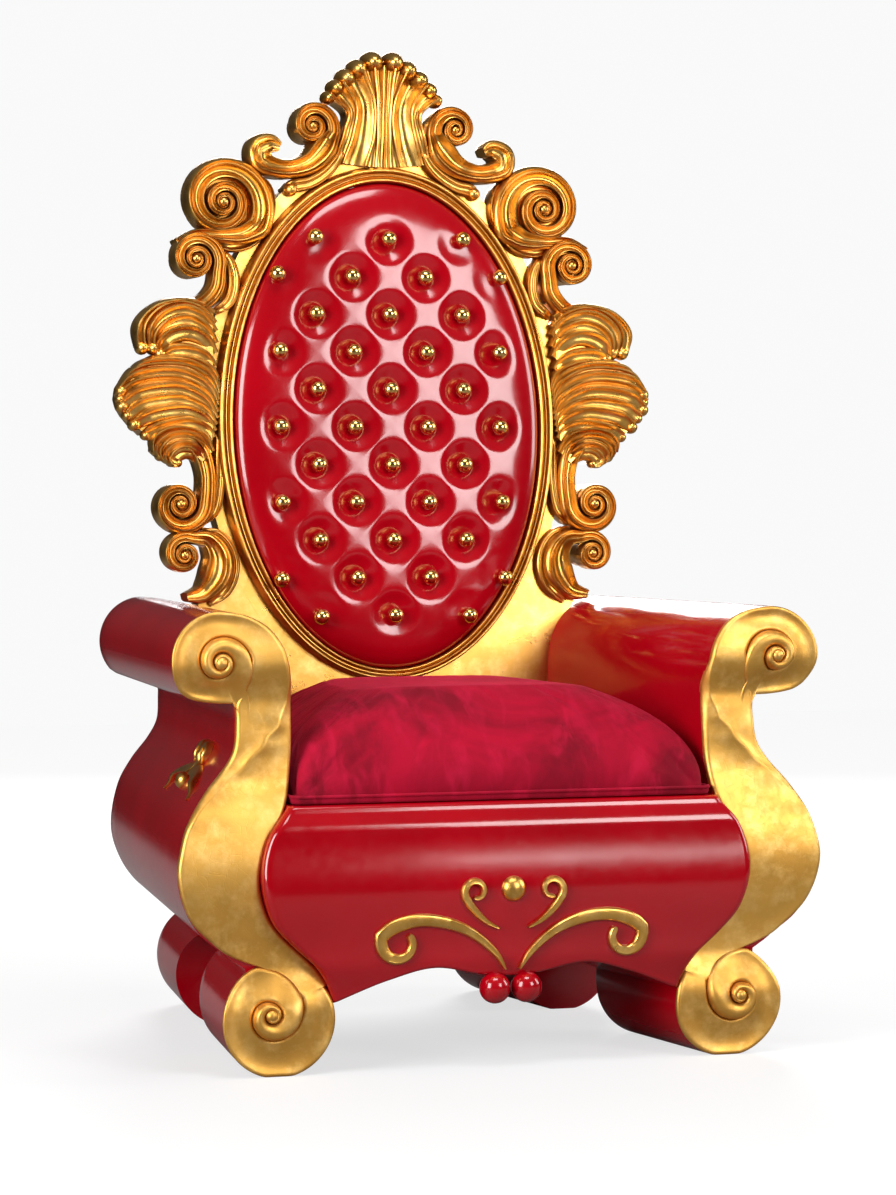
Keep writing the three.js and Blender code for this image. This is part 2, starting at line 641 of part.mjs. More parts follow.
const APRON_LARGE = {
  rows: [[13, 173, 2], [31, 201, 6], [78, 240, 9], [130, 260, 11], [180, 264, 12], [222, 252, 13]],
  coil: { eye: [206, 226], radius: 36, from: 20, turns: 0.62, sense: -1, shrink: 0.42, share: 0.34 },
  count: 12,
};
const APRON_SMALL = {
  rows: [[27, 246, 2], [50, 258, 5], [74, 280, 7]],
  coil: { eye: [70, 312], radius: 22, from: -35, turns: 0.85, sense: 1, shrink: 0.5, share: 0.34 },
  count: 6,
};

// A raised ornament on the side panel: three plain scrolls around a boss.
const sideSurface = (y, z, rise) => {
  const x = sideHalfWidth(z) - taper(z) * y + (rise ?? -12);
  return new THREE.Vector3(x, y, z);
};

// Half width of the outside of the body by height, between the waist and the belly.
const sideHalfWidth = through([[430, 576], [490, 541], [530, 507], [580, 489], [620, 485]]);

function makeSideOrnament(armSide) {
  const scrolls = [
    { rows: [[150, 470, 3], [190, 500, 7], [235, 512, 9]], eye: [262, 538], from: -80, sense: 1 },
    { rows: [[420, 470, 3], [385, 500, 7], [340, 512, 9]], eye: [312, 538], from: 260, sense: -1 },
  ];
  const strips = scrolls.map(({ rows, eye, from, sense }) => makeTrim(
    rows,
    { eye, radius: 26, from, turns: 0.85, sense, shrink: 0.5, share: 0.33 },
    7,
    sideSurface,
  ));
  const boss = [287, 492];
  const dome = ball(17, [sideSurface(...boss, 0).x, ...boss], 1, 10);
  return clearOf(union([...strips, dome]), armSide, [[1, 0, 0]]);
}

// ---- Assembly ------------------------------------------------------------------------
const armSide = makeArmSide();
const seatBox = makeSeatBox();
const scrollFront = makeScrollFront();
const apronScrolls = {
  large: makeApronScroll(APRON_LARGE, seatBox),
  small: makeApronScroll(APRON_SMALL, seatBox),
};
const sideOrnament = makeSideOrnament(armSide);
const apronDome = clearOf(ball(23, [0, apronFace(314) + 4, 314], 0.8), seatBox, BEFORE_APRON);
const apronBall = clearOf(ball(28, [29, apronFace(140) - 6, 140]), seatBox, BEFORE_APRON);

const throne = new THREE.Group();
const pieces = new THREE.Group();
pieces.add(meshOf('seat_box', seatBox, lacquer));
pieces.add(meshOf('arm_side_right', armSide, lacquer));
pieces.add(meshOf('arm_side_left', mirrored(armSide), lacquer));
pieces.add(meshOf('rear_block', makeRearBlock(), lacquer));
pieces.add(meshOf('scroll_front_right', scrollFront, gilding));
pieces.add(meshOf('scroll_front_left', mirrored(scrollFront), gilding));
pieces.add(meshOf('back_frame', makeBackFrame(), gilding));
pieces.add(meshOf('tufted_panel', makePanel(), lacquer));
studPlaces().forEach((place, i) => pieces.add(makeStud(`stud_${String(i + 1).padStart(2, '0')}`, place)));
pieces.add(meshOf('seat_cushion', makeCushion(), velvet));
for (const [size, scroll] of Object.entries(apronScrolls)) {
  pieces.add(meshOf(`apron_scroll_${size}_right`, scroll, gilding));
  pieces.add(meshOf(`apron_scroll_${size}_left`, mirrored(scroll), gilding));
}
pieces.add(meshOf('apron_dome', apronDome, gilding));
pieces.add(meshOf('apron_ball_right', apronBall, lacquer));
pieces.add(meshOf('apron_ball_left', mirrored(apronBall), lacquer));
pieces.add(meshOf('side_ornament_right', sideOrnament, gilding));
pieces.add(meshOf('side_ornament_left', mirrored(sideOrnament), gilding));

// The origin is on the floor, under the middle of the whole throne's box.
const box = new THREE.Box3().setFromObject(pieces);
pieces.position.y = -(box.min.y + box.max.y) / 2;
throne.add(pieces);

export default throne;
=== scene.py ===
# A ceremonial throne: red lacquered body, gilded scroll fronts, a carved gilded back with a
# tufted oval panel and studs, and a velvet seat cushion.
import math

import bmesh
import bpy
import numpy as np
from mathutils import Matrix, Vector
from mathutils.geometry import delaunay_2d_cdt


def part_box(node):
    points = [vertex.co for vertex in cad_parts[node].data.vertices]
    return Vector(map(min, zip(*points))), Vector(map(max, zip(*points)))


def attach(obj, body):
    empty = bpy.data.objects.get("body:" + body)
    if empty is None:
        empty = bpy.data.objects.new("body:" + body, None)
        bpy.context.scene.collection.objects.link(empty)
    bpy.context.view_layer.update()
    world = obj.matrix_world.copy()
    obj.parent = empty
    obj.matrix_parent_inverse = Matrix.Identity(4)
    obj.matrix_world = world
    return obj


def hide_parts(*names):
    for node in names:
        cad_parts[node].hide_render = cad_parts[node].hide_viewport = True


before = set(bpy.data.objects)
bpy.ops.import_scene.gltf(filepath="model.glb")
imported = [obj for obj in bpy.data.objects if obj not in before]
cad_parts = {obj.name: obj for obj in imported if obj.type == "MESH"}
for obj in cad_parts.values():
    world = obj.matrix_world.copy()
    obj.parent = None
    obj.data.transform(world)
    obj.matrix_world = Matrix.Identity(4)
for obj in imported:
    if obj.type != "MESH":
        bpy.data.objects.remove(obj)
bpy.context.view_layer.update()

# ---- Body shell ----------------------------------------------------------------------
# The seat box, the sides with their rolled arms and the scroll feet: one moulded glass fibre
# shell in gloss red lacquer. Shapes are drawn in millimetres, with depth measured from the
# front of the feet, and `make_piece` takes them into the frame.
MM = 0.001
BODY_REAR = 970
front_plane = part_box("seat_box")[1][1] - BODY_REAR * MM

DECK = 465                   # height of the seat's deck
SIDE_FRONT = 10              # how far the sides' front ends stand behind the gilded face
ARM_EYE = (515, 712)
FOOT_EYE = (432, 108)
EDGE_ROUND = 9               # rounding of the sides' rear edges
ARCH = {"front": 320, "rear": 660, "top": 200, "radius": 120}


def through(rows):
    """A smooth function of one variable through [position, value] rows."""
    places = np.array([row[0] for row in rows], float)
    values = np.array([row[1] for row in rows], float)

    def value_at(s):
        s = np.clip(np.asarray(s, float), places[0], places[-1])
        i = np.clip(np.searchsorted(places, s, side="right") - 1, 0, len(places) - 2)
        share = (s - places[i]) / (places[i + 1] - places[i])
        ease = 0.5 - 0.5 * np.cos(np.pi * share)
        return values[i] + (values[i + 1] - values[i]) * ease

    return value_at


def smooth(rows, count):
    """Evenly spaced rows on a rounded curve through given ones; columns 0 and 1 are the place."""
    rows = np.array(rows, float)
    step = np.hypot(*np.diff(rows[:, :2], axis=0).T) ** 0.5
    knots = np.concatenate([[0], np.cumsum(step)])
    slope = np.gradient(rows, knots, axis=0)
    fine = np.linspace(0, knots[-1], 24 * len(rows))
    i = np.clip(np.searchsorted(knots, fine, side="right") - 1, 0, len(knots) - 2)
    span = knots[i + 1] - knots[i]
    t = ((fine - knots[i]) / span)[:, None]
    span = span[:, None]
    curve = (
        (2 * t**3 - 3 * t**2 + 1) * rows[i]
        + (t**3 - 2 * t**2 + t) * span * slope[i]
        + (3 * t**2 - 2 * t**3) * rows[i + 1]
        + (t**3 - t**2) * span * slope[i + 1]
    )
    return evenly(curve, count)


def evenly(curve, count):
    """Rows at even distances along a finely drawn line."""
    length = np.concatenate([[0], np.cumsum(np.hypot(*np.diff(curve[:, :2], axis=0).T))])
    want = np.linspace(0, length[-1], count)
    return np.stack([np.interp(want, length, column) for column in curve.T], axis=1)


def arc(centre, radius, start, end, count):
    """Points along an arc; angles in degrees, 0 toward +X and 90 up."""
    angle = np.radians(np.linspace(start, end, count))
    return np.stack([centre[0] + radius * np.cos(angle), centre[1] + radius * np.sin(angle)], axis=1)


def skin(rings, looped=False, capped=True):
    """A surface over rings of equal length, as (points, faces)."""
    rings = np.asarray(rings, float)
    count, sides = rings.shape[:2]
    near = np.arange(count if looped else count - 1)
    far = (near + 1) % count
    j = np.arange(sides)
    k = (j + 1) % sides
    faces = np.stack([
        near[:, None] * sides + j, far[:, None] * sides + j,
        far[:, None] * sides + k, near[:, None] * sides + k,
    ], axis=-1).reshape(-1, 4).tolist()
    if capped and not looped:
        faces += [list(range(sides)), list(range((count - 1) * sides, count * sides))]
    return rings.reshape(-1, 3), faces


def mirrored(part):
    points, faces = part
    return points * [-1, 1, 1], faces


def both_sides(parts):
    return parts + [mirrored(part) for part in parts]


def depth_inside(points, outline):
    """How far each point lies inside a closed outline; negative outside."""
    start = outline
    along = np.roll(outline, -1, axis=0) - start
    size = np.maximum((along**2).sum(axis=1), 1e-9)
    out = []
    for chunk in np.array_split(points, max(len(points) // 2000, 1)):
        away = chunk[:, None] - start
        share = np.clip((away * along).sum(axis=2) / size, 0, 1)
        nearest = np.sqrt(((away - share[..., None] * along) ** 2).sum(axis=2).min(axis=1))
        above = (start[:, 1] > chunk[:, 1:]) != (np.roll(start[:, 1], -1) > chunk[:, 1:])
        rise = np.where(np.abs(along[:, 1]) < 1e-9, 1e-9, along[:, 1])
        cross = start[:, 0] + along[:, 0] * (chunk[:, 1:] - start[:, 1]) / rise > chunk[:, :1]
        inside = ((above & cross).sum(axis=1) % 2).astype(bool)
        out.append(np.where(inside, nearest, -nearest))
    return np.concatenate(out)


def filled(outline, spacing, place):
    """A triangulated face inside an outline, laid on the surface that `place` describes."""
    low = outline.min(axis=0)
    high = outline.max(axis=0)
    grid = [
        (x + (row % 2) * spacing / 2, z)
        for row, z in enumerate(np.arange(low[1], high[1], spacing * 0.866))
        for x in np.arange(low[0], high[0], spacing)
    ]
    grid = np.array(grid)
    inner = grid[depth_inside(grid, outline) > 0.5 * spacing]
    flat = np.concatenate([outline, inner])
    edges = [(i, (i + 1) % len(outline)) for i in range(len(outline))]
    result = delaunay_2d_cdt([Vector(p) for p in flat.tolist()], edges, [list(range(len(outline)))], 1, 1e-5)
    spots = np.array([tuple(spot) for spot in result[0]])
    return place(spots[:, 0], spots[:, 1]), [list(face) for face in result[2]]


def add_object(name, data):
    item = bpy.data.objects.new(name, data)
    bpy.context.scene.collection.objects.link(item)
    return item


def make_piece(name, parts, material, replaces, sharp=40):
    """Joins (points, faces) parts into one piece in the frame, riding on the throne's only body."""
    points = []
    faces = []
    count = 0
    for part_points, part_faces in parts:
        faces += [[index + count for index in face] for face in part_faces]
        points.append(part_points)
        count += len(part_points)
    places = np.concatenate(points) * MM + [0, front_plane, 0]
    mesh = bpy.data.meshes.new(name)
    mesh.from_pydata(places.tolist(), [], faces)
    form = bmesh.new()
    form.from_mesh(mesh)
    bmesh.ops.remove_doubles(form, verts=form.verts, dist=2e-5)
    bmesh.ops.recalc_face_normals(form, faces=form.faces)
    form.to_mesh(mesh)
    form.free()
    mesh.shade_smooth()
    mesh.set_sharp_from_angle(angle=math.radians(sharp))
    mesh.materials.append(material)
    piece = add_object(name, mesh)
    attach(piece, "root")
    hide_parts(*replaces)
    return piece


def make_pair(name, parts, material, node):
    """A gilded piece on the right and its mirror image on the left, each replacing its own node."""
    for side, half in (("right", parts), ("left", [mirrored(part) for part in parts])):
        make_piece(f"{name}_{side}", half, material, replaces=[f"{node}_{side}"])


def new_material(name):
    material = bpy.data.materials.new(name)
    material.use_nodes = True
    tree = material.node_tree
    return material, tree, tree.nodes["Principled BSDF"]


def add_node(tree, kind, inputs=(), **settings):
    """Adds a node; an input's value is a number, a colour or another node's socket."""
    node = tree.nodes.new(kind)
    for key, value in settings.items():
        setattr(node, key, value)
    for socket, value in dict(inputs).items():
        if isinstance(value, bpy.types.NodeSocket):
            tree.links.new(value, node.inputs[socket])
        else:
            node.inputs[socket].default_value = value
    return node


def object_place(tree):
    return add_node(tree, "ShaderNodeTexCoord").outputs["Object"]


def add_bump(tree, shader, height, strength, distance):
    bump = add_node(tree, "ShaderNodeBump", {"Strength": strength, "Distance": distance, "Height": height})
    tree.links.new(bump.outputs["Normal"], shader.inputs["Normal"])


def noise(tree, place, scale, detail=3.0, roughness=0.5, distortion=0.0):
    return add_node(tree, "ShaderNodeTexNoise", {
        "Vector": place, "Scale": scale, "Detail": detail, "Roughness": roughness, "Distortion": distortion,
    }).outputs["Fac"]


def ramp(tree, value, low, high, to_low=0.0, to_high=1.0):
    return add_node(tree, "ShaderNodeMapRange", {
        "Value": value, "From Min": low, "From Max": high, "To Min": to_low, "To Max": to_high,
    }).outputs["Result"]


def blend_colours(tree, share, first, second):
    return add_node(tree, "ShaderNodeMix", {0: share, 6: first, 7: second}, data_type="RGBA").outputs[2]


LACQUER_RED = (0.36, 0.0002, 0.006, 1)
LACQUER_DEEP = (0.29, 0.0001, 0.004, 1)


def make_lacquer(name, roughness):
    material, tree, shader = new_material(name)
    place = object_place(tree)
    cloud = noise(tree, place, 3.0, detail=2.0)
    colour = blend_colours(tree, ramp(tree, cloud, 0.35, 0.65), LACQUER_RED, LACQUER_DEEP)
    tree.links.new(colour, shader.inputs["Base Color"])
    film = noise(tree, place, 60.0, detail=4.0, roughness=0.6)
    tree.links.new(ramp(tree, film, 0.3, 0.7, roughness, roughness + 0.06), shader.inputs["Roughness"])
    ripple = noise(tree, place, 9.0, detail=1.5)
    add_bump(tree, shader, ripple, 0.25, 0.002)
    shader.inputs["Coat Weight"].default_value = 0.15
    shader.inputs["Coat Roughness"].default_value = 0.05
    return material


lacquer = make_lacquer("red lacquer", 0.12)

taper = through([[0, 0.122], [ARM_EYE[1], 0.090]])
scroll_face = through([[0, 8], [110, 0], [190, 20], [350, 4], [560, 44], [640, 50], [712, 27], [800, 36]])
apron_face = through([[120, 4], [200, -14], [310, -21], [420, -10], [DECK, 6]])

HALF_WIDTH = 596.6           # at the widest, across the bellies of the two sides
FULL_SHIFT = 300             # nearer the middle than this, the closing in fades to nothing


def on_side(x, y, z):
    """Takes a point of the straight-sided form to the real one, whose sides close in toward the rear."""
    x, y, z = np.broadcast_arrays(np.asarray(x, float), y, z)
    share = np.clip(x / FULL_SHIFT, -1, 1)
    closed_in = np.clip(x - share * taper(z) * np.maximum(y, 0), -HALF_WIDTH, HALF_WIDTH)
    return np.stack([closed_in, y, z], axis=-1)


# The right half seen from the front: the inner face, over the arm and down the outer face.
inner_edge = smooth([[366, 200], [392, 224], [430, 268], [450, 345], [436, 410], [400, 461]], 40)
arm_edge = smooth([
    [400, 461], [388, 530], [386, 650], [391, 705], [406, 745], [432, 775], [470, 793], [514, 799],
], 60)
arm_roll = arc((515, 714), 85, 88, -40, 48)
arm_underside = smooth([[580.1, 659.4], [566, 650], [548, 645], [518, 641], [487, 640]], 14)[1:]
outer_edge = smooth([
    [485, 615], [490, 560], [508, 528], [545, 484], [575, 435], [594, 350], [580, 290], [552, 246],
    [513, 215], [494, 200],
], 90)
upper_outline = np.concatenate([inner_edge[:-1], arm_edge[:-1], arm_roll, arm_underside, outer_edge])
foot_roll = arc((416, 97), 100, 90, -270, 97)[:-1]
foot_roll[:, 1] = np.maximum(foot_roll[:, 1], 0)
foot_web = np.array([
    [325, 128], [336, 165], [352, 188], [366, 200], [374, 207], [506, 209], [494, 200], [474, 187],
    [466, 150], [420, 120],
], float)


def shrunk(outline, by):
    """The outline moved inward by a small distance; it runs clockwise."""
    along = np.roll(outline, -1, axis=0) - np.roll(outline, 1, axis=0)
    along /= np.maximum(np.hypot(*along.T), 1e-6)[:, None]
    return outline + by * np.stack([along[:, 1], -along[:, 0]], axis=1)


def drawn_out(outline, start, end, round_end=EDGE_ROUND, steps=5):
    """The outline drawn out from front to rear with a rounded rear edge; depths are functions of height."""
    x, z = outline.T
    stop = end(z) - round_end
    rings = [on_side(x, start(z) + (stop - start(z)) * share, z) for share in np.linspace(0, 1, 12)]
    for turn in np.linspace(0, math.pi / 2, steps + 1)[1:]:
        last = shrunk(outline, round_end * (1 - math.cos(turn)))
        rings.append(on_side(last[:, 0], stop + round_end * math.sin(turn), z))
    wall = skin(rings, capped=False)
    near = filled(outline, 14, lambda fx, fz: on_side(fx, start(fz), fz))
    far = filled(np.stack([last[:, 0], z], axis=1), 14, lambda fx, fz: on_side(fx, end(fz), fz))
    return [wall, near, far]


def jamb(edge, toward):
    """Where a foot ends along the side arch: straight below, then curving over into the crown."""
    def depth_at(z):
        rise = np.clip(z - (ARCH["top"] - ARCH["radius"]), 0, ARCH["radius"])
        return edge + toward * (ARCH["radius"] - np.sqrt(ARCH["radius"] ** 2 - rise**2))
    return depth_at


def level(depth):
    return lambda z: depth + 0 * z


def behind_front(z):
    return scroll_face(z) + SIDE_FRONT


SEAT_HALF = np.array([
    # height, half width between the sides
    [100, 317], [139, 325], [165, 336], [188, 352], [224, 392], [268, 430], [345, 450], [410, 436],
    [461, 400], [DECK, 399],
], float)
APRON_ROUND = 14             # rounding of the apron's upright ends
APRON_HALF = 316             # half the arch's width
DECK_ROUND = 10
HEM_ROUND = 7
APRON_ARCH = smooth([[0, 160], [50, 164], [126, 179], [210, 160], [316, 122]], 60)


def make_seat_box():
    """Deck, bulging apron and underside in one loop, swept from side to side."""
    heights = smooth(SEAT_HALF[:, [1, 0]], 200)[:, ::-1]
    rings = []
    ends = 1 - 0.055 * (1 - np.sin(np.linspace(0, math.pi / 2, 9)[:-1]))
    shares = np.concatenate([-ends[::-1], np.linspace(-0.93, 0.93, 111), ends])
    for share in np.concatenate([[-1.0], shares, [1.0]]):
        bottom = float(np.interp(abs(share) * APRON_HALF, APRON_ARCH[:, 0], APRON_ARCH[:, 1]))
        top_round = arc((DECK_ROUND, -DECK_ROUND), DECK_ROUND, 90, 180, 7)
        bottom_round = arc((HEM_ROUND, HEM_ROUND), HEM_ROUND, 180, 270, 6)
        z_face = np.linspace(DECK - DECK_ROUND, bottom + HEM_ROUND, 60)
        column = [[BODY_REAR - 4, DECK], [640, DECK], [300, DECK]]
        column += [[apron_face(DECK - DECK_ROUND) + px, DECK + pz] for px, pz in top_round]
        column += [[float(apron_face(z)), z] for z in z_face[1:]]
        column += [[apron_face(bottom + HEM_ROUND) + px, bottom + pz] for px, pz in bottom_round[1:]]
        roof = max(bottom, ARCH["top"])
        column += [[ARCH["front"], bottom], [ARCH["front"] + 60, roof], [ARCH["rear"] - 60, roof],
                   [ARCH["rear"], bottom], [800, bottom]]
        column += [[BODY_REAR - 4, z] for z in np.linspace(bottom, DECK, 26)[:-1]]
        y, z = np.array(column, float).T
        half = np.interp(z, heights[:, 0], heights[:, 1])
        edge = np.maximum(APRON_ROUND - half * (1 - abs(share)), 0)
        sunk = APRON_ROUND - np.sqrt(np.maximum(APRON_ROUND**2 - edge**2, 0)) + 30 * (abs(share) == 1)
        rings.append(on_side(share * half, y + sunk * (y < 200), z))
    return skin(rings)


def make_rear_block():
    """The plain block between the arms that the back frame leans on."""
    height = np.array([DECK - 5, 692, 698, 700, 700, 698, 692, DECK - 5])
    depth = 722.4 + 0.0586 * height + np.array([0, 0, 2, 8, 0, 0, 0, 0])
    depth[4:] = [BODY_REAR - 12, BODY_REAR - 6, BODY_REAR - 4, BODY_REAR - 4]
    return skin([on_side(np.full(len(height), x), depth, height) for x in np.linspace(-400, 400, 9)])


def make_rear_panel():
    """The plain board that closes the seat box from behind, down to the arch of the apron."""
    z = np.linspace(128, DECK - 6, 40)
    half = np.interp(z, SEAT_HALF[:, 0], SEAT_HALF[:, 1]) - 5
    foot = np.linspace(-308, 308, 61)[1:-1]
    foot_z = np.interp(np.abs(foot), APRON_ARCH[:, 0], APRON_ARCH[:, 1]) + 1.5
    outline = np.concatenate([
        np.stack([half, z], axis=1), np.stack([-half, z], axis=1)[::-1], np.stack([foot, foot_z], axis=1),
    ])
    x, z = outline.T
    return skin([on_side(x, float(depth), z) for depth in (BODY_REAR - 8, BODY_REAR - 1)])


side_parts = drawn_out(upper_outline, behind_front, level(BODY_REAR))
for outline, short in ((foot_roll, 0), (foot_web, 3)):
    side_parts += drawn_out(outline, behind_front, jamb(ARCH["front"], 1), 5)
    side_parts += drawn_out(outline, jamb(ARCH["rear"], -1), level(BODY_REAR - short))
shell_parts = [*both_sides(side_parts), make_seat_box(), make_rear_block(), make_rear_panel()]
make_piece("body_shell", shell_parts, lacquer,
           replaces=["seat_box", "arm_side_right", "arm_side_left", "rear_block"])

# ---- Scroll fronts -------------------------------------------------------------------
# A gilded casting covers each side's front end: a broad band that winds into a volute on the
# arm and another on the foot, with an arris that crosses from its inner edge to its outer one.
FRONT_BACK = 14              # from the gilded face to the casting's back
LIP = 8                      # rounding of its edges
ARRIS = 12                   # height of the arris above the band


def gold_colours(tree, place, shade):
    """Gold leaf in worn and bright patches, with painted shade: darkened to brown where `shade` marks the
    hollows, bright on the ridges.
    """
    cloud = noise(tree, place, 7.0, detail=5.0, roughness=0.6)
    patch = noise(tree, place, 28.0, detail=4.0, roughness=0.65)
    worn = blend_colours(tree, ramp(tree, cloud, 0.38, 0.68), (0.78, 0.43, 0.095, 1), (0.60, 0.30, 0.055, 1))
    leaf = blend_colours(tree, ramp(tree, patch, 0.45, 0.72), worn, (0.90, 0.56, 0.17, 1))
    return blend_colours(tree, shade, leaf, (0.42, 0.15, 0.02, 1))


def make_gold(name, painted_shade, wrinkle, base_roughness):
    """Gold leaf with painted shade in its hollows, as dark as the second argument says; `wrinkle` is the
    height of its creases.
    """
    material, tree, shader = new_material(name)
    place = object_place(tree)
    # Painted shade: an occlusion test darkens the leaf toward brown in hollows and creases, where shade
    # falls.
    cavity = add_node(tree, "ShaderNodeAmbientOcclusion", {"Distance": 0.018}, samples=8)
    shade = ramp(tree, cavity.outputs["AO"], 0.8, 0.25, 0.0, painted_shade)
    tree.links.new(gold_colours(tree, place, shade), shader.inputs["Base Color"])
    shader.inputs["Metallic"].default_value = 1.0
    crease = add_node(tree, "ShaderNodeTexVoronoi", {"Vector": place, "Scale": 46.0, "Randomness": 1.0},
                      feature="DISTANCE_TO_EDGE").outputs["Distance"]
    line = ramp(tree, crease, 0.0, 0.02, 0.6, 0.0)
    crumple = noise(tree, place, 120.0, detail=5.0, roughness=0.62)
    height = add_node(tree, "ShaderNodeMath", {0: crumple, 1: line}, operation="SUBTRACT").outputs[0]
    add_bump(tree, shader, height, wrinkle, 0.0006)
    rough = noise(tree, place, 22.0, detail=6.0, roughness=0.7)
    gloss = ramp(tree, rough, 0.3, 0.7, base_roughness, base_roughness + 0.14)
    tree.links.new(gloss, shader.inputs["Roughness"])
    return material


front_gold = make_gold("gold leaf on the fronts", 0.5, 0.25, 0.42)

ARM_COIL = {
    "eye": ARM_EYE, "notch": 247, "sense": -1, "until": 1.7,
    "groove": [[0, 77], [0.19, 55], [0.44, 43], [0.69, 34], [0.94, 26.5], [1.19, 20.5], [1.44, 16],
               [1.7, 12.5], [2.2, 8], [2.7, 4]],
}
FOOT_COIL = {
    "eye": FOOT_EYE, "notch": 62, "sense": 1, "until": 1.7,
    "groove": [[0, 86], [0.08, 78], [0.33, 57], [0.58, 43], [0.83, 31], [1.08, 22], [1.33, 16.5],
               [1.7, 11.5], [2.2, 7], [2.7, 4]],
}
EYE_BALL = 12                # radius of the ball in each volute's eye
ARM_RIM = 0.80               # turns along which each volute's band follows the casting's outline
FOOT_RIM = 0.74
COIL_ROWS = 260
NO_CROSSING = 100.0          # reach where a ray meets no outline
RIM_REST = -0.8              # the turns that mark the stem, beyond both volutes
MIN_REACH = 5


def reach(eye, angle, outline):
    """How far an outline lies from the eye in each direction; its nearest crossing."""
    start = outline - eye
    along = np.roll(start, -1, axis=0) - start
    out = []
    for turn in angle:
        way = np.array([math.cos(turn), math.sin(turn)])
        across = way[0] * along[:, 1] - way[1] * along[:, 0]
        across = np.where(np.abs(across) < 1e-9, 1e-9, across)
        far = (start[:, 0] * along[:, 1] - start[:, 1] * along[:, 0]) / across
        share = (start[:, 0] * way[1] - start[:, 1] * way[0]) / across
        hits = far[(share >= 0) & (share <= 1) & (far > MIN_REACH)]
        out.append(hits.min() if len(hits) else NO_CROSSING)
    return np.array(out)


def coil_edges(coil, outline, rim_turns, count):
    """Outer and inner edges of a volute's band, from its innermost end out along the rim."""
    turns = np.linspace(coil["until"], -rim_turns, count)
    angle = np.radians(coil["notch"] + coil["sense"] * 360 * turns)
    groove_at = np.array(coil["groove"], float)

    def groove(turn):
        return np.exp(np.interp(turn, groove_at[:, 0], np.log(groove_at[:, 1])))

    rim = reach(np.array(coil["eye"]), angle, outline)
    ease = np.clip(turns / 0.06, 0, 1)
    outer = np.where(turns > 0, groove(turns) * ease + rim * (1 - ease) * (turns <= 0.06), rim)
    outer = np.where((turns > 0) & (turns < 0.06), np.minimum(outer, rim), outer)
    inner = groove(turns + 1)
    way = np.stack([np.cos(angle), np.sin(angle)], axis=1)
    eye = np.array(coil["eye"], float)
    return eye + outer[:, None] * way, eye + inner[:, None] * way, turns


front_stem = [
    # inner x, z, outer x, z, from the arm's volute to the foot's
    [386, 672, 468, 668], [386, 640, 484, 640], [386, 600, 484, 612], [387, 560, 489, 562],
    [390, 520, 508, 528], [396, 480, 545, 484], [410, 440, 575, 435], [437, 400, 590, 385],
    [449, 350, 594, 350], [446, 310, 585, 305], [432, 272, 566, 266], [412, 244, 536, 236],
    [390, 222, 508, 213], [366, 200, 478, 199], [346, 180, 446, 187], [330, 155, 412, 168],
]
# the arris crosses the stem from its outer edge, low down, to its inner edge: rows of [height, value]
ARRIS_PATH = through([
    [420, 0.97], [456, 0.95], [502, 0.87], [539, 0.72], [576, 0.5], [610, 0.24], [644, 0.1], [700, 0.04],
])
ARRIS_RISE = through([[420, 0], [456, 4], [502, 8], [560, ARRIS], [610, ARRIS - 1], [650, 7], [700, 1]])
# rise and hollow of the band by its turns, which grow toward the eye: rows of [turns, value]
COIL_RISE = through([[-0.1, 0], [0.1, 4], [0.6, 8], [1.7, 10]])
COIL_DISH = through([[RIM_REST, 0], [-0.6, 7.5], [-0.1, 8], [0.12, 1], [0.35, -6], [0.8, -6], [1.7, -4]])


def front_rows():
    """The band's two edges, with each row's turns in its volute (RIM_REST on the stem)."""
    arm_outline = np.concatenate([arm_edge, arm_roll, arm_underside, [[487, 600], [386, 600]]])
    arm_outer, arm_inner, arm_turns = coil_edges(ARM_COIL, arm_outline, ARM_RIM, COIL_ROWS)
    foot_outer, foot_inner, foot_turns = coil_edges(FOOT_COIL, foot_roll, FOOT_RIM, COIL_ROWS)
    rows = np.array([[*arm_outer[-1], *arm_inner[-1]], *front_stem, [*foot_outer[-1], *foot_inner[-1]]])
    stem = smooth(np.concatenate([(rows[:, :2] + rows[:, 2:]) / 2, rows], axis=1), 130)[1:-1, 2:]
    first = np.concatenate([arm_outer, stem[:, :2], foot_outer[::-1]])
    second = np.concatenate([arm_inner, stem[:, 2:], foot_inner[::-1]])
    turns = np.concatenate([arm_turns, np.full(len(stem), RIM_REST), foot_turns[::-1]])
    return first, second, turns


def make_scroll_front():
    first, second, turns = front_rows()
    across = 0.5 - 0.5 * np.cos(np.linspace(0, math.pi, 45))
    width = np.hypot(*(second - first).T)[:, None]
    lip = np.minimum(LIP, width / 3.2)
    near = lip - np.minimum(across * width, lip)
    far = lip - np.minimum((1 - across) * width, lip)
    rounding = np.sqrt(np.maximum(lip**2 - near**2, 0)) + np.sqrt(np.maximum(lip**2 - far**2, 0)) - 2 * lip
    inward = COIL_RISE(turns)[:, None]
    curl = COIL_DISH(turns)[:, None]
    dish = -curl * np.sin(math.pi * across**0.85) - 0.4 * np.maximum(curl, 0) * across**3
    height = np.clip((first[:, 1] + second[:, 1]) / 2, 421, 699)
    arris = ARRIS_PATH(height)[:, None]
    crest = ARRIS_RISE(height)[:, None]
    below = np.clip(across / arris, 0, 1)
    above = np.clip((across - arris) / (1 - arris), 0, 1)
    facets = crest * np.where(across < arris, below**1.3, (1 - above) ** 1.7)
    rise = rounding + inward + dish + facets * (turns[:, None] < RIM_REST + 0.02)
    under = np.full((len(first), 1), -FRONT_BACK)
    rise = np.concatenate([under, rise, under], axis=1)
    across = np.concatenate([[0], across, [1]])
    x = first[:, :1] + (second[:, :1] - first[:, :1]) * across
    z = first[:, 1:] + (second[:, 1:] - first[:, 1:]) * across
    return skin(on_side(x, scroll_face(z) - rise, z))


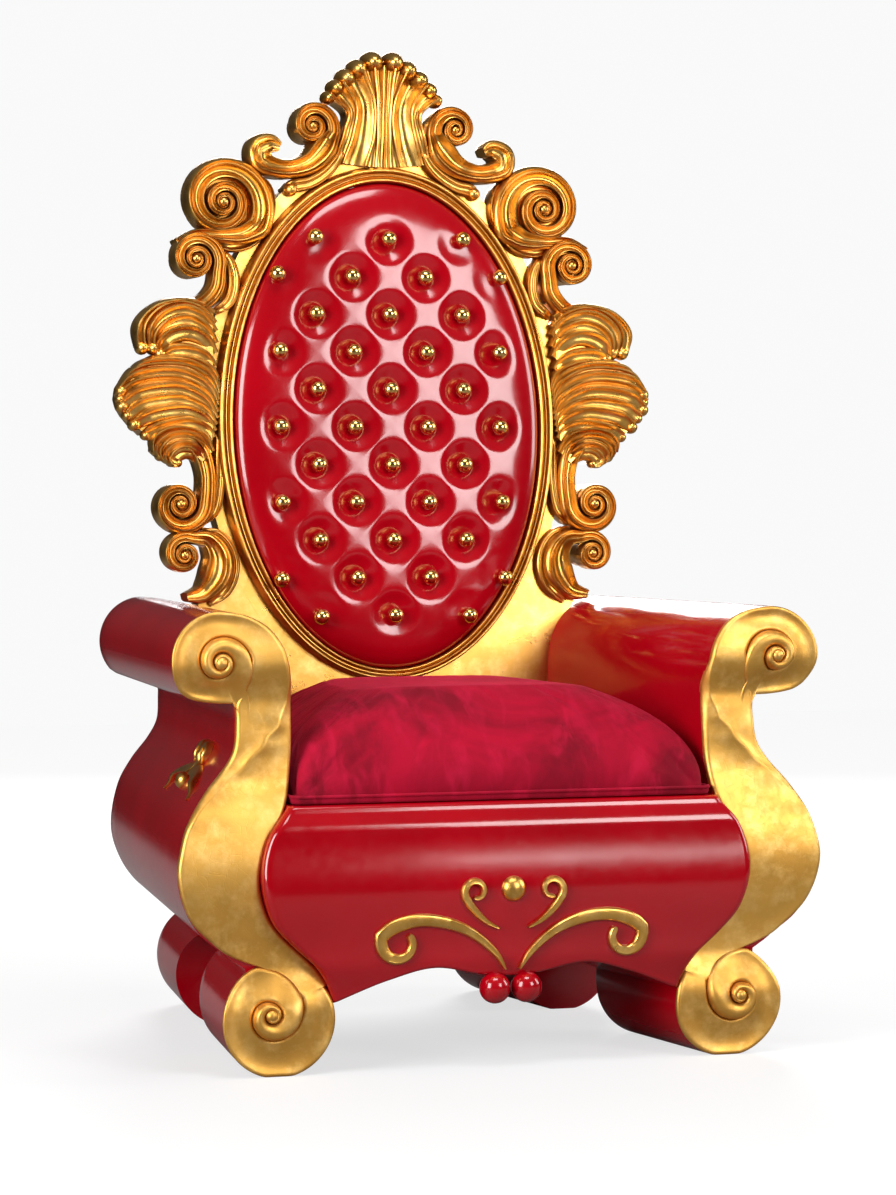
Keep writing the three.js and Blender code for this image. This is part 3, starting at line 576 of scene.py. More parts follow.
def ball(centre, radius, squash=1.0, sides=32):
    """A closed ball whose middle lies at a point in space."""
    rings = []
    for tilt in np.linspace(0.06, math.pi - 0.06, sides // 2):
        turn = np.linspace(0, 2 * math.pi, sides, endpoint=False)
        rings.append(np.stack([
            centre[0] + radius * math.sin(tilt) * np.cos(turn),
            centre[1] - squash * radius * math.cos(tilt) + 0 * turn,
            centre[2] + radius * math.sin(tilt) * np.sin(turn),
        ], axis=1))
    return skin(rings)


def front_ball(eye):
    place = on_side(eye[0], float(scroll_face(eye[1])) - 5, eye[1])
    return ball(place, EYE_BALL)


front_parts = [make_scroll_front(), front_ball(ARM_EYE), front_ball(FOOT_EYE)]
make_pair("gilded_front", front_parts, front_gold, "scroll_front")

# ---- Back frame ----------------------------------------------------------------------
# A carved and gilded frame: scrolls, leaves and a shell crest around a moulded oval, cast as
# one piece that leans back between the arms.
BACK_LEAN = 0.0586           # how far it leans back for each millimetre of height
BACK_FACE = 672              # depth of the flat ground at floor level
BACK_DEPTH = 50              # from that ground to the frame's rear
FULL_DEPTH_WIDTH = 44        # narrower bands are carved less deeply, in proportion
RELIEF = 40                  # how far the scrolls stand in front of the ground
OVAL_IN = {"a": 306, "b": 466, "z": 1131}
OVAL_OUT = {"a": 340, "b": 495, "z": 1135}

back_gold = make_gold("gold leaf on the back", 0.75, 0.12, 0.24)


def on_back(x, z, rise):
    x, z, rise = np.broadcast_arrays(x, z, rise)
    return np.stack([x, BACK_FACE + BACK_LEAN * z - rise, z], axis=-1)


def spiral(coil, steps=44):
    """Rows [x, z, half width] of a tightening spiral about an eye, from the outside in."""
    turn = np.linspace(0, coil["turns"], int(coil["turns"] * steps) + 1)
    radius = coil["radius"] * coil["shrink"] ** turn
    angle = np.radians(coil["from"] + coil["sense"] * 360 * turn)
    x = coil["eye"][0] + radius * np.cos(angle)
    z = coil["eye"][1] + radius * np.sin(angle)
    return np.stack([x, z, radius * coil["share"]], axis=1)


def edges_of(line):
    """The two edges of a band along a centre line of [x, z, half width], left edge first."""
    way = np.gradient(line[:, :2], axis=0)
    way /= np.maximum(np.hypot(*way.T), 1e-9)[:, None]
    out = np.stack([-way[:, 1], way[:, 0]], axis=1) * line[:, 2:3]
    return line[:, :2] + out, line[:, :2] - out


def band(edges, profile, crest, place):
    """A closed band with a moulded section. Profile rows are [across, share of the crest, plain rise]."""
    first, second = edges
    across, share, plain = np.array(profile, float).T
    wide = np.clip(np.hypot(*(second - first).T)[:, None] / FULL_DEPTH_WIDTH, 0, 1)
    rise = (1 - (1 - share) * wide) * crest[:, None] + plain
    x = first[:, :1] + (second[:, :1] - first[:, :1]) * across
    z = first[:, 1:] + (second[:, 1:] - first[:, 1:]) * across
    return skin(place(x, z, rise))


def rounded(profile, count):
    """Extra rows on a smooth curve through the front of a section."""
    rows = np.array(profile, float)
    scaled = rows * [60, 40, 1]
    return smooth(scaled, count) / [60, 40, 1]


SCROLL_FRONT = [
    [0.0, 0, -6], [0.02, 0.3, 0], [0.08, 0.6, 0], [0.16, 0.74, 0], [0.24, 0.66, 0], [0.285, 0.64, 0],
    [0.31, 0.84, 0], [0.335, 1.0, 0], [0.36, 0.86, 0], [0.39, 0.6, 0], [0.48, 0.47, 0], [0.6, 0.42, 0],
    [0.72, 0.5, 0], [0.82, 0.74, 0], [0.87, 0.92, 0], [0.91, 0.86, 0], [0.96, 0.55, 0], [1.0, 0.2, 0],
]
SCROLL_SECTION = np.concatenate([
    [[0.22, 0, -BACK_DEPTH], [0.08, 0, -42], [0.01, 0, -28]], rounded(SCROLL_FRONT, 46),
    [[0.96, 0, -30], [0.8, 0, -BACK_DEPTH]],
])
RIB_FRONT = [
    [0.0, 0.35, 0], [0.05, 0.7, 0], [0.11, 0.95, 0], [0.16, 1.0, 0], [0.22, 0.93, 0], [0.32, 0.76, 0],
    [0.48, 0.68, 0], [0.68, 0.66, 0], [0.88, 0.56, 0], [1.0, 0.3, 0],
]
RIB_SECTION = np.concatenate([
    [[0.3, 0, -30], [0.06, 0, -20]], rounded(RIB_FRONT, 18), [[0.94, 0, -20], [0.7, 0, -30]],
])
RIDGE_SECTION = np.array([
    [0.0, 1, -8], [0.05, 1, 1], [0.25, 1, 3.4], [0.5, 1, 4.4], [0.75, 1, 3.4], [0.95, 1, 1], [1.0, 1, -8],
])
FLUTE_SECTION = np.array([
    [0.0, 0, -BACK_DEPTH], [0.0, 1.0, 0], [0.06, 0.96, 0], [0.16, 0.74, 0], [0.3, 0.52, 0], [0.46, 0.42, 0],
    [0.62, 0.44, 0], [0.78, 0.6, 0], [0.92, 0.9, 0], [1.0, 1.0, 0], [1.0, 0, -BACK_DEPTH],
])

SCROLLS = [
    {   # the C scroll beside the crest, from its hooked end
        "tail": [[206, 1662, 10], [222, 1668, 20], [244, 1658, 25], [243, 1634, 24], [216, 1622, 20],
                 [182, 1621, 19], [146, 1634, 24], [118, 1662, 28]],
        "coil": {"eye": (143, 1703), "radius": 43, "from": 195, "turns": 2.2, "sense": -1, "shrink": 0.42,
                 "share": 0.38},
    },
    {   # the large volute, its tail laid over the one below
        "tail": [[412, 1476, 6], [375, 1491, 10], [330, 1489, 14], [284, 1492, 21]],
        "coil": {"eye": (322, 1553), "radius": 84, "from": 212, "turns": 3.0, "sense": -1, "shrink": 0.46,
                 "share": 0.33},
    },
    {   # the middle volute, which springs from the upper leaf
        "tail": [[410, 1350, 12], [368, 1358, 16], [338, 1388, 17]],
        "coil": {"eye": (377, 1444), "radius": 49, "from": 200, "turns": 2.5, "sense": -1, "shrink": 0.48,
                 "share": 0.32},
    },
    {   # the S scroll, from the lower leaf down to its volute
        "tail": [[454, 1080, 10], [442, 1103, 16], [405, 1108, 20], [374, 1082, 20], [361, 1040, 18],
                 [361, 1005, 18]],
        "coil": {"eye": (415, 980), "radius": 51, "from": 182, "turns": 2.3, "sense": 1, "shrink": 0.45,
                 "share": 0.36},
    },
    {   # the lowest scroll, rising from the arm
        "tail": [[402, 804, 9], [370, 812, 20], [344, 845, 31], [340, 882, 27], [360, 912, 18]],
        "coil": {"eye": (409, 884), "radius": 37, "from": 118, "turns": 2.2, "sense": -1, "shrink": 0.48,
                 "share": 0.33},
    },
]
# Each leaf is a fan of ribs that changes evenly from its first, through a middle one, to its last.
LEAVES = [
    {   # the upper leaf, curling outward and down
        "shares": [0, 0.2, 0.36, 0.58, 0.76, 1], "width": 16, "pad": 20,
        "first": [[344, 1338], [372, 1352], [416, 1354], [456, 1341], [482, 1312], [482, 1275]],
        "middle": [[342, 1290], [362, 1318], [396, 1333], [430, 1325], [452, 1302], [455, 1272]],
        "last": [[346, 1238], [358, 1254], [382, 1265], [410, 1268], [432, 1264], [446, 1252]],
    },
    {   # the wide fan, whose tips turn down
        "shares": [0, 0.12, 0.25, 0.36, 0.5, 0.62, 0.75, 0.87, 1], "width": 15, "pad": 20,
        "first": [[340, 1200], [350, 1228], [384, 1244], [428, 1248], [466, 1243], [486, 1224]],
        "middle": [[343, 1152], [360, 1184], [404, 1208], [456, 1210], [502, 1199], [526, 1178]],
        "last": [[350, 1104], [362, 1120], [394, 1131], [428, 1127], [456, 1120], [478, 1110]],
    },
    {   # the lower leaf, folded over the S scroll
        "shares": [0, 0.26, 0.5, 0.76, 1], "width": 13, "pad": 22,
        "first": [[352, 1078], [368, 1104], [400, 1116], [436, 1113], [456, 1100], [458, 1080]],
        "middle": [[360, 1070], [378, 1091], [404, 1099], [430, 1094], [444, 1080], [440, 1066]],
        "last": [[370, 1060], [386, 1074], [403, 1079], [418, 1074], [425, 1064], [416, 1058]],
    },
]
OUTER_BANDS = [
    # thin channels that fill the ground between the scrolls and the moulding
    [[252, 1604, 5], [236, 1588, 12], [229, 1553, 15], [242, 1512, 17], [272, 1482, 17], [308, 1472, 13],
     [340, 1480, 6]],
    [[322, 1464, 5], [305, 1434, 11], [300, 1400, 12], [310, 1366, 12], [338, 1344, 7]],
    [[80, 1668, 5], [92, 1640, 10], [116, 1614, 12], [148, 1595, 13], [178, 1588, 13], [192, 1578, 9]],
    [[334, 1118, 5], [334, 1070, 9], [335, 1015, 10], [346, 968, 11], [368, 944, 6]],
    [[356, 790, 5], [324, 820, 13], [311, 857, 14], [316, 892, 13], [338, 920, 12], [370, 931, 6]],
]
SHELL_EDGES = [
    [[1, 1628], [1, 1690], [1, 1760], [1, 1822]],
    [[15, 1628], [12, 1690], [14, 1760], [22, 1826]],
    [[36, 1630], [21, 1684], [20, 1750], [46, 1818]],
    [[80, 1634], [62, 1690], [56, 1742], [84, 1788]],
    [[92, 1650], [79, 1696], [72, 1730], [108, 1762]],
]
SHELL_LOBES = [[21, 1829, 22], [50, 1815, 20], [74, 1797, 19], [94, 1778, 17], [108, 1759, 14]]


def slab(outline, rise):
    """A flat-faced solid from the frame's rear up to a rise."""
    return skin([on_back(*outline.T, -BACK_DEPTH), on_back(*outline.T, rise)])


def leaf_line(leaf, share):
    """The centre line of a leaf's rib, `share` of the way from its first rib to its last."""
    first, middle, last = np.array([leaf["first"], leaf["middle"], leaf["last"]], float)
    way = first * (1 - share) * (1 - 2 * share)
    way += middle * 4 * share * (1 - share)
    way += last * share * (2 * share - 1)
    widths = leaf["width"] * np.array([0.75, 0.95, 1.1, 1.15, 1.1, 0.8])
    return np.concatenate([way, widths[:, None]], axis=1)


def carved(line, section, crest_rows):
    """A band of the back frame; the crest's rows are [share of the way, rise]."""
    crest = through(crest_rows)(np.linspace(0, 1, len(line)))
    return band(edges_of(line), section, crest, on_back)


def make_leaf(leaf):
    """A solid pad under the whole leaf, then its ribs, each lapped over the one before."""
    shares = leaf["shares"]
    outer = smooth(leaf_line(leaf, 0)[:, :2], 30)
    inner = smooth(leaf_line(leaf, 1)[:, :2], 30)
    tips = np.array([leaf_line(leaf, share)[-1, :2] for share in shares[1:-1]])
    outline = np.concatenate([outer, tips, inner[::-1]])
    pad = slab(outline, leaf["pad"])
    ribs = []
    for order, share in enumerate(shares[::-1]):
        rows = leaf_line(leaf, share)
        lift = 3 if order % 2 else -2
        crest_rows = [[0, 22], [0.45, RELIEF - 3 + lift], [0.8, RELIEF + lift], [1, RELIEF - 10]]
        ribs.append(carved(smooth(rows, 12 * len(rows)), RIB_SECTION, crest_rows))
        tip = rows[-1]
        ribs.append(ball(on_back(tip[0], tip[1], 12), tip[2] * (0.95 + 0.05 * lift), squash=1.5, sides=16))
    return [pad, *ribs]


def make_shell():
    """Concave flutes that spread from the foot, ridges between them, and a lobed rim."""
    lines = [smooth(rows, 40) for rows in SHELL_EDGES]
    crest = through([[0, 14], [0.35, 24], [0.8, RELIEF - 6], [1, RELIEF]])(np.linspace(0, 1, 40))
    parts = [band((left, right), FLUTE_SECTION, crest, on_back) for left, right in zip(lines, lines[1:])]
    for line in lines[1:]:
        ridge = np.concatenate([line, np.full((40, 1), 3.2)], axis=1)
        parts.append(band(edges_of(ridge), RIDGE_SECTION, crest, on_back))
    for x, z, radius in SHELL_LOBES:
        parts.append(ball(on_back(x, z, 8), radius, squash=2.0))
    return parts


def make_scroll(scroll):
    coil = scroll["coil"]
    turns = spiral(coil)
    approach = smooth([*scroll["tail"], turns[0]], 16 * len(scroll["tail"]))[:-1]
    line = np.concatenate([approach, turns])
    height = through([[0, 22], [0.2, RELIEF - 6], [0.7, RELIEF - 2], [1, RELIEF - 8]])
    edges = edges_of(line)[::-coil["sense"]]
    strip = band(edges, SCROLL_SECTION, height(np.linspace(0, 1, len(line))), on_back)
    inner = coil["radius"] * coil["shrink"] ** coil["turns"]
    x, z = coil["eye"]
    bed = arc(coil["eye"], coil["radius"] * 0.72, 0, 345, 24)
    disc = slab(bed, 10)
    return [strip, disc, ball(on_back(x, z, RELIEF - 12), inner * 1.2, sides=20)]


def ellipse(size, count, grow=(0, 0)):
    turn = np.linspace(0, 2 * math.pi, count, endpoint=False)
    half, tall = size["a"] + grow[0], size["b"] + grow[1]
    return np.stack([half * np.cos(turn), size["z"] + tall * np.sin(turn)], axis=1)


MOULDING_FRONT = [
    [0.0, 0, 4], [0.02, 0.34, 0], [0.06, 0.5, 0], [0.14, 0.62, 0], [0.24, 0.59, 0], [0.3, 0.46, 0],
    [0.34, 0.38, 0], [0.39, 0.4, 0], [0.43, 0.5, 0], [0.47, 0.51, 0], [0.5, 0.42, 0], [0.54, 0.38, 0],
    [0.6, 0.47, 0], [0.68, 0.6, 0], [0.78, 0.61, 0], [0.86, 0.5, 0], [0.93, 0.34, 0], [1.0, 0.04, 0],
]
MOULDING = np.concatenate([
    [[0.0, 0, -BACK_DEPTH]], rounded(MOULDING_FRONT, 56), [[1.0, 0, -BACK_DEPTH]],
])


def make_moulding():
    inner = ellipse(OVAL_IN, 240)
    outer = ellipse(OVAL_OUT, 240)
    across, share, plain = MOULDING.T
    rings = []
    for start, end in zip(inner, outer):
        spot = start + (end - start) * across[:, None]
        rings.append(on_back(spot[:, 0], spot[:, 1], share * RELIEF + plain))
    return skin(rings, looped=True)


def make_ground():
    """The flat ground behind the ornament, from an upper ring and a lower apron between the arms."""
    inner = ellipse(OVAL_IN, 180, (6, 6))
    outer = ellipse(OVAL_OUT, 180, (22, 32))
    rings = []
    for near, far in zip(inner, outer):
        spots = near + (far - near) * np.array([0, 0, 1, 1])[:, None]
        rings.append(on_back(spots[:, 0], spots[:, 1], np.array([-BACK_DEPTH, 0, 0, -BACK_DEPTH])))
    ring = skin(rings, looped=True)
    lower = np.array([[345, DECK + 1], [345, 740], [378, 790], [345, 890], [200, 760], [0, 665]], float)
    lower = np.concatenate([lower, (lower * [-1, 1])[::-1][1:]])
    plate = slab(lower, -0.2)
    return [ring, plate]


def make_outer_band(rows):
    return carved(smooth(rows, 14 * len(rows)), SCROLL_SECTION, [[0, 8], [0.15, 20], [0.85, 20], [1, 8]])


ornament = [part for scroll in SCROLLS for part in make_scroll(scroll)]
ornament += [part for leaf in LEAVES for part in make_leaf(leaf)]
ornament += [make_outer_band(rows) for rows in OUTER_BANDS]
ornament.append(ball(on_back(184, 1581, 6), 13, squash=1.3))
ornament += make_shell()
make_piece("carved_frame", both_sides(ornament) + [make_moulding(), *make_ground()], back_gold,
           replaces=["back_frame"])

# ---- Tufted panel --------------------------------------------------------------------
# The oval panel imitates deep-buttoned leather in moulded, red lacquered glass fibre: round
# pits under the studs with soft ridges between them, fading to a plain rolled margin.
STUD_PITCH = (73, 72)        # half the distance along a row, and from row to row
STUD_MIDDLE = 1127           # height of the middle row
STUD_ROWS = 5                # rows above the middle one, and below it
TUFT_DEPTH = 15
PIT_RADIUS = 33
PIT_TIP = 16                 # rounding of a pit's bottom
PIT_RIM = 0.16               # rounding of its rim, as a share of its depth
PANEL_EDGE = 8
PANEL_CROWN = 34


def outness(x, z):
    return np.hypot(x / OVAL_IN["a"], (z - OVAL_IN["z"]) / OVAL_IN["b"])


def panel_crown(x, z):
    return PANEL_EDGE + PANEL_CROWN * np.maximum(1 - outness(x, z) ** 8, 0) ** 0.4


def stud_places():
    places = []
    for row in range(-STUD_ROWS, STUD_ROWS + 1):
        for column in (-2, 0, 2) if row % 2 else (-3, -1, 1, 3):
            places.append((column * STUD_PITCH[0], STUD_MIDDLE + row * STUD_PITCH[1]))
    return np.array(places, float)


def panel_rise(x, z):
    """Rise of the panel's face: its crown, less a cone with a rounded tip and rim round each stud."""
    studs = stud_places()
    shape = np.shape(x)
    x = np.ravel(x)
    z = np.ravel(z)
    away = np.hypot(x[:, None] - studs[:, 0], z[:, None] - studs[:, 1]).min(axis=1)
    tip = np.hypot(away, PIT_TIP) - PIT_TIP
    wall = (PIT_RADIUS - tip) / PIT_RADIUS
    soft = 0.5 * (wall + np.sqrt(wall**2 + PIT_RIM**2))
    fade = np.clip((0.93 - outness(x, z)) / 0.24, 0, 1)
    fade = fade * fade * (3 - 2 * fade)
    return (panel_crown(x, z) - TUFT_DEPTH * fade * soft).reshape(shape)


def make_panel():
    rings = []
    for share in 1 - np.linspace(1, 0.004, 110) ** 1.7:
        size = {"a": (OVAL_IN["a"] - 0.4) * share, "b": (OVAL_IN["b"] - 0.4) * share, "z": OVAL_IN["z"]}
        ring = ellipse(size, 420)
        if share > 0:
            rings.append(on_back(ring[:, 0], ring[:, 1], panel_rise(ring[:, 0], ring[:, 1])))
    rings.append(rings[-1] + [0, 45, 0])
    return skin(rings)


panel_lacquer = make_lacquer("panel lacquer", 0.12)
make_piece("buttoned_panel", [make_panel()], panel_lacquer,
           replaces=["tufted_panel"], sharp=60)

# ---- Studs ---------------------------------------------------------------------------
# Polished brass upholstery studs, pressed into the pits of the panel and square to its broad
# curve; the outermost ones stand in the plain margin.
STUD_RADIUS = 0.0155
STUD_LIFT = 0.013            # from the bottom of a pit to the middle of its stud
TILT_REACH = 4               # the slope is taken over this distance to each side


def stud_seats():
    """Where each stud sits, and the way it faces, square to the panel's broad curve."""
    x, z = stud_places().T
    slope_x = (panel_crown(x + TILT_REACH, z) - panel_crown(x - TILT_REACH, z)) / (2 * TILT_REACH)
    slope_z = (panel_crown(x, z + TILT_REACH) - panel_crown(x, z - TILT_REACH)) / (2 * TILT_REACH)
    facing = np.stack([-slope_x, -np.ones(len(x)), BACK_LEAN - slope_z], axis=1)
    facing /= np.linalg.norm(facing, axis=1)[:, None]
    return on_back(x, z, panel_rise(x, z) + 1) * MM + [0, front_plane, 0], facing


brass, tree, shader = new_material("polished brass")
place = object_place(tree)
tarnish = noise(tree, place, 90.0, detail=3.0)
tree.links.new(
    blend_colours(tree, ramp(tree, tarnish, 0.4, 0.7), (0.84, 0.54, 0.18, 1), (0.62, 0.36, 0.09, 1)),
    shader.inputs["Base Color"])
tree.links.new(ramp(tree, tarnish, 0.3, 0.7, 0.14, 0.24), shader.inputs["Roughness"])
shader.inputs["Metallic"].default_value = 1.0


def make_stud_tree():
    """Geometry nodes that set a domed stud on every point, turned to face along its normal."""
    tree = bpy.data.node_groups.new("studs on the panel", "GeometryNodeTree")
    tree.interface.new_socket("Geometry", in_out="INPUT", socket_type="NodeSocketGeometry")
    tree.interface.new_socket("Radius", in_out="INPUT", socket_type="NodeSocketFloat")
    tree.interface.new_socket("Geometry", in_out="OUTPUT", socket_type="NodeSocketGeometry")
    start = tree.nodes.new("NodeGroupInput")
    end = tree.nodes.new("NodeGroupOutput")
    facing = add_node(tree, "GeometryNodeInputNamedAttribute", {"Name": "facing"}, data_type="FLOAT_VECTOR")
    turn = add_node(tree, "FunctionNodeAlignRotationToVector", {"Vector": facing.outputs["Attribute"]},
                    axis="Z")
    dome = add_node(tree, "GeometryNodeMeshUVSphere", {
        "Segments": 20, "Rings": 12, "Radius": start.outputs["Radius"],
    })
    flat = add_node(tree, "GeometryNodeTransform", {"Geometry": dome.outputs["Mesh"], "Scale": (1, 1, 0.92)})
    shade = add_node(tree, "GeometryNodeSetShadeSmooth", {"Geometry": flat.outputs["Geometry"]})
    lift = add_node(tree, "ShaderNodeVectorMath", {0: facing.outputs["Attribute"], "Scale": STUD_LIFT},
                    operation="SCALE")
    raised = add_node(tree, "GeometryNodeSetPosition", {
        "Geometry": start.outputs["Geometry"], "Offset": lift.outputs["Vector"],
    })
    spread = add_node(tree, "GeometryNodeInstanceOnPoints", {
        "Points": raised.outputs["Geometry"], "Instance": shade.outputs["Geometry"],
        "Rotation": turn.outputs["Rotation"],
    })
    real = add_node(tree, "GeometryNodeRealizeInstances", {"Geometry": spread.outputs["Instances"]})
    painted = add_node(tree, "GeometryNodeSetMaterial", {
        "Geometry": real.outputs["Geometry"], "Material": brass,
    })
    tree.links.new(painted.outputs["Geometry"], end.inputs["Geometry"])
    return tree


def settle(name, points, tree, settings, attributes=()):
    """Runs a node tree on loose points and returns the result as a plain mesh object."""
    mesh = bpy.data.meshes.new(name)
    mesh.from_pydata(points.tolist(), [], [])
    for key, values in attributes:
        mesh.attributes.new(key, "FLOAT_VECTOR", "POINT").data.foreach_set("vector", values.ravel())
    holder = add_object(name, mesh)
    modifier = holder.modifiers.new("nodes", "NODES")
    modifier.node_group = tree
    sockets = {item.name: item.identifier for item in tree.interface.items_tree if item.in_out == "INPUT"}
    for key, value in settings.items():
        modifier[sockets[key]] = value
    graph = bpy.context.evaluated_depsgraph_get()
    solid = bpy.data.meshes.new_from_object(holder.evaluated_get(graph))
    holder.modifiers.remove(modifier)
    holder.data = solid
    return holder


seats, facing = stud_seats()
studs = settle("studs", seats, make_stud_tree(), {"Radius": STUD_RADIUS}, [("facing", facing)])
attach(studs, "root")
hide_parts(*[f"stud_{number:02d}" for number in range(1, len(seats) + 1)])

# ---- Apron ornament ------------------------------------------------------------------
# Flat gilded scrolls with rounded edges, a dome between them, and two red lacquered balls
# under the apron's middle, each glued to the shell.
TRIM_RISE = 9                # how far the flat scrolls stand off the shell
TRIM_SECTION = [
    [0.0, 0, -6], [0.0, 0, 2], [0.03, 0.0, 5], [0.1, 0, 7.6], [0.2, 0, TRIM_RISE], [0.5, 0, TRIM_RISE - 0.6],
    [0.8, 0, TRIM_RISE], [0.9, 0, 7.6], [0.97, 0, 5], [1.0, 0, 2], [1.0, 0, -6],
]


def on_apron(x, z, rise):
    x, z, rise = np.broadcast_arrays(x, z, rise)
    return np.stack([x, apron_face(z) - rise, z], axis=-1)


def make_trim(rows, coil, place):
    """A flat scroll: given rows that wind into a spiral, closed by a round end."""
    turns = spiral(coil)
    line = np.concatenate([smooth([*rows, turns[0]], 60)[:-1], turns])
    end = line[-1]
    way = line[-1, :2] - line[-2, :2]
    way /= np.hypot(*way)
    close = np.linspace(0, 0.98, 7)[1:]
    tip = [[*(end[:2] + way * end[2] * far), end[2] * math.sqrt(1 - far**2)] for far in close]
    line = np.concatenate([line, tip])
    return band(edges_of(line), TRIM_SECTION, np.zeros(len(line)), place)


APRON_SCROLLS = [
    ([[13, 173, 2], [31, 201, 6], [78, 240, 9], [130, 260, 11], [180, 264, 12], [222, 252, 13]],
     {"eye": (206, 226), "radius": 36, "from": 20, "turns": 0.62, "sense": -1, "shrink": 0.42,
      "share": 0.34}),
    ([[27, 246, 2], [50, 258, 5], [74, 280, 7]],
     {"eye": (70, 312), "radius": 22, "from": -35, "turns": 0.85, "sense": 1, "shrink": 0.5, "share": 0.34}),
]
trim_gold = make_gold("gold leaf on the trim", 0.35, 0.25, 0.26)
ornament = both_sides([make_trim(rows, coil, on_apron) for rows, coil in APRON_SCROLLS])
ornament.append(ball((0, apron_face(314) + 4, 314), 23, squash=0.8))
apron_scrolls = [f"apron_scroll_{size}_{side}" for size in ("large", "small") for side in ("right", "left")]
make_piece("apron_ornament", ornament, trim_gold, replaces=[*apron_scrolls, "apron_dome"])
make_piece("apron_balls", both_sides([ball((29, apron_face(140) - 6, 140), 27.5, sides=40)]), lacquer,
           replaces=["apron_ball_right", "apron_ball_left"])

# ---- Side ornament -------------------------------------------------------------------
# A raised gilded ornament on each side below the arm: two plain scrolls meeting at a boss.
side_half = through([[430, 576], [490, 541], [530, 507], [580, 489], [620, 485]])
BOSS = (287.0, 492.0)        # depth and height of the middle


def on_flank(y, z, rise):
    y, z, rise = np.broadcast_arrays(y, z, rise)
    return np.stack([side_half(z) - taper(z) * y + rise, y, z], axis=-1)


SIDE_SCROLLS = [
    # rows of [y, z, half width], then the eye, the start angle and the sense of the closing curl
    ([[150, 470, 3], [190, 500, 7], [235, 512, 9]], (262, 538), -80, 1),
    ([[420, 470, 3], [385, 500, 7], [340, 512, 9]], (312, 538), 260, -1),
]
flank = [
    make_trim(rows, {"eye": eye, "radius": 26, "from": start, "turns": 0.85, "sense": sense, "shrink": 0.5,
                     "share": 0.33}, on_flank)
    for rows, eye, start, sense in SIDE_SCROLLS
]
flank.append(ball((float(on_flank(*BOSS, 0)[0]), *BOSS), 16))
make_pair("side_scrolls", flank, trim_gold, "side_ornament")

# ---- Seat cushion --------------------------------------------------------------------
# A loose cushion in crimson velvet over foam: its crowned top runs down to a piped seam, with
# a low band under it that rests on the deck.
CUSHION = {"front": 14, "rear": 660, "half": 389, "foot": DECK + 1.5, "hem": 478, "top": 650}
FRONT_ROUND = 180            # how far back the crown's front rounding runs
REAR_ROUND = 70
SIDE_CLOSING = 0.0966        # the half width lost for each millimetre of depth
CORNER_ROUND = 26            # how far from each end the corners begin
CORNER_INSET = 22
CUSHION_START = 0.975        # the swelling starts from a slightly smaller shape
SWELL_CAP = 0.016            # and moves no point further than this, in metres


def rounded_square(share, power):
    return (1 - np.clip(share, 0, 1) ** power) ** (1 / power)


def cushion_height(across, y):
    near = np.clip((CUSHION["front"] + FRONT_ROUND - y) / FRONT_ROUND, 0, 1)
    far = np.clip((y - CUSHION["rear"] + REAR_ROUND) / REAR_ROUND, 0, 1)
    crown = rounded_square(near, 2.6) * rounded_square(far, 2.5)
    return CUSHION["hem"] + (CUSHION["top"] - CUSHION["hem"]) * rounded_square(np.abs(across), 3.7) * crown


def make_cushion(shrink):
    """Rings from the front to the rear, each across the flat foot and back over the crown."""
    rings = []
    count = 60
    middle = (CUSHION["front"] + CUSHION["rear"]) / 2
    for step in range(count + 1):
        share = 0.5 - 0.5 * math.cos(math.pi * step / count)
        y = CUSHION["front"] + (CUSHION["rear"] - CUSHION["front"]) * share
        from_end = min(y - CUSHION["front"], CUSHION["rear"] - y)
        corner = CORNER_INSET * (1 - rounded_square(max(CORNER_ROUND - from_end, 0) / CORNER_ROUND, 2))
        half = CUSHION["half"] - SIDE_CLOSING * y - corner
        across = np.cos(np.linspace(0, math.pi, 91))
        over = np.stack([half * across, np.full(91, y), cushion_height(across, y)], axis=1)
        under = np.stack([half * across[::-3], np.full(31, y), np.full(31, float(CUSHION["foot"]))], axis=1)
        ring = np.concatenate([over, under])
        ring[:, 0] *= shrink
        ring[:, 1] = middle + (ring[:, 1] - middle) * shrink
        ring[:, 2] = CUSHION["foot"] + (ring[:, 2] - CUSHION["foot"]) * (shrink - 0.01 * (shrink < 1))
        rings.append(ring)
    return skin(rings)


def velvet_material():
    """Deep pile velvet: broad patches painted darker as painted shade and streaks painted lighter as painted
    sheen, laid out at random like the nap of crushed velvet, a pale sheen at a glancing angle, and fine
    fibres.
    """
    material, tree, shader = new_material("crimson velvet")
    place = object_place(tree)
    broad = noise(tree, place, 3.6, detail=4.0, roughness=0.62, distortion=1.6)
    streak_place = add_node(tree, "ShaderNodeMapping", {
        "Vector": place, "Rotation": (0.2, 0.3, 0.5), "Scale": (26, 7, 9),
    }).outputs["Vector"]
    streak = noise(tree, streak_place, 1.0, detail=5.0, roughness=0.6, distortion=0.8)
    # Painted shade and painted sheen: the pile is darkened in broad patches and lightened along streaks, at
    # random.
    painted_shade_patches = ramp(tree, broad, 0.36, 0.66)
    pile = blend_colours(tree, painted_shade_patches, (0.35, 0.0008, 0.019, 1), (0.17, 0.0004, 0.009, 1))
    pile_with_painted_sheen = blend_colours(tree, ramp(tree, streak, 0.5, 0.75, 0.0, 0.75), pile, (0.46, 0.005, 0.036, 1))
    tree.links.new(pile_with_painted_sheen, shader.inputs["Base Color"])
    fibre = noise(tree, place, 900.0, detail=3.0, roughness=0.7)
    height = add_node(tree, "ShaderNodeMath", {0: fibre, 1: streak}, operation="ADD").outputs[0]
    add_bump(tree, shader, height, 0.5, 0.0012)
    shader.inputs["Roughness"].default_value = 0.85
    shader.inputs["Specular IOR Level"].default_value = 0.15
    shader.inputs["Sheen Weight"].default_value = 0.4
    shader.inputs["Sheen Roughness"].default_value = 0.35
    shader.inputs["Sheen Tint"].default_value = (1.0, 0.08, 0.16, 1)
    return material


def vertex_places(mesh):
    return np.array([list(vertex.co) for vertex in mesh.vertices])


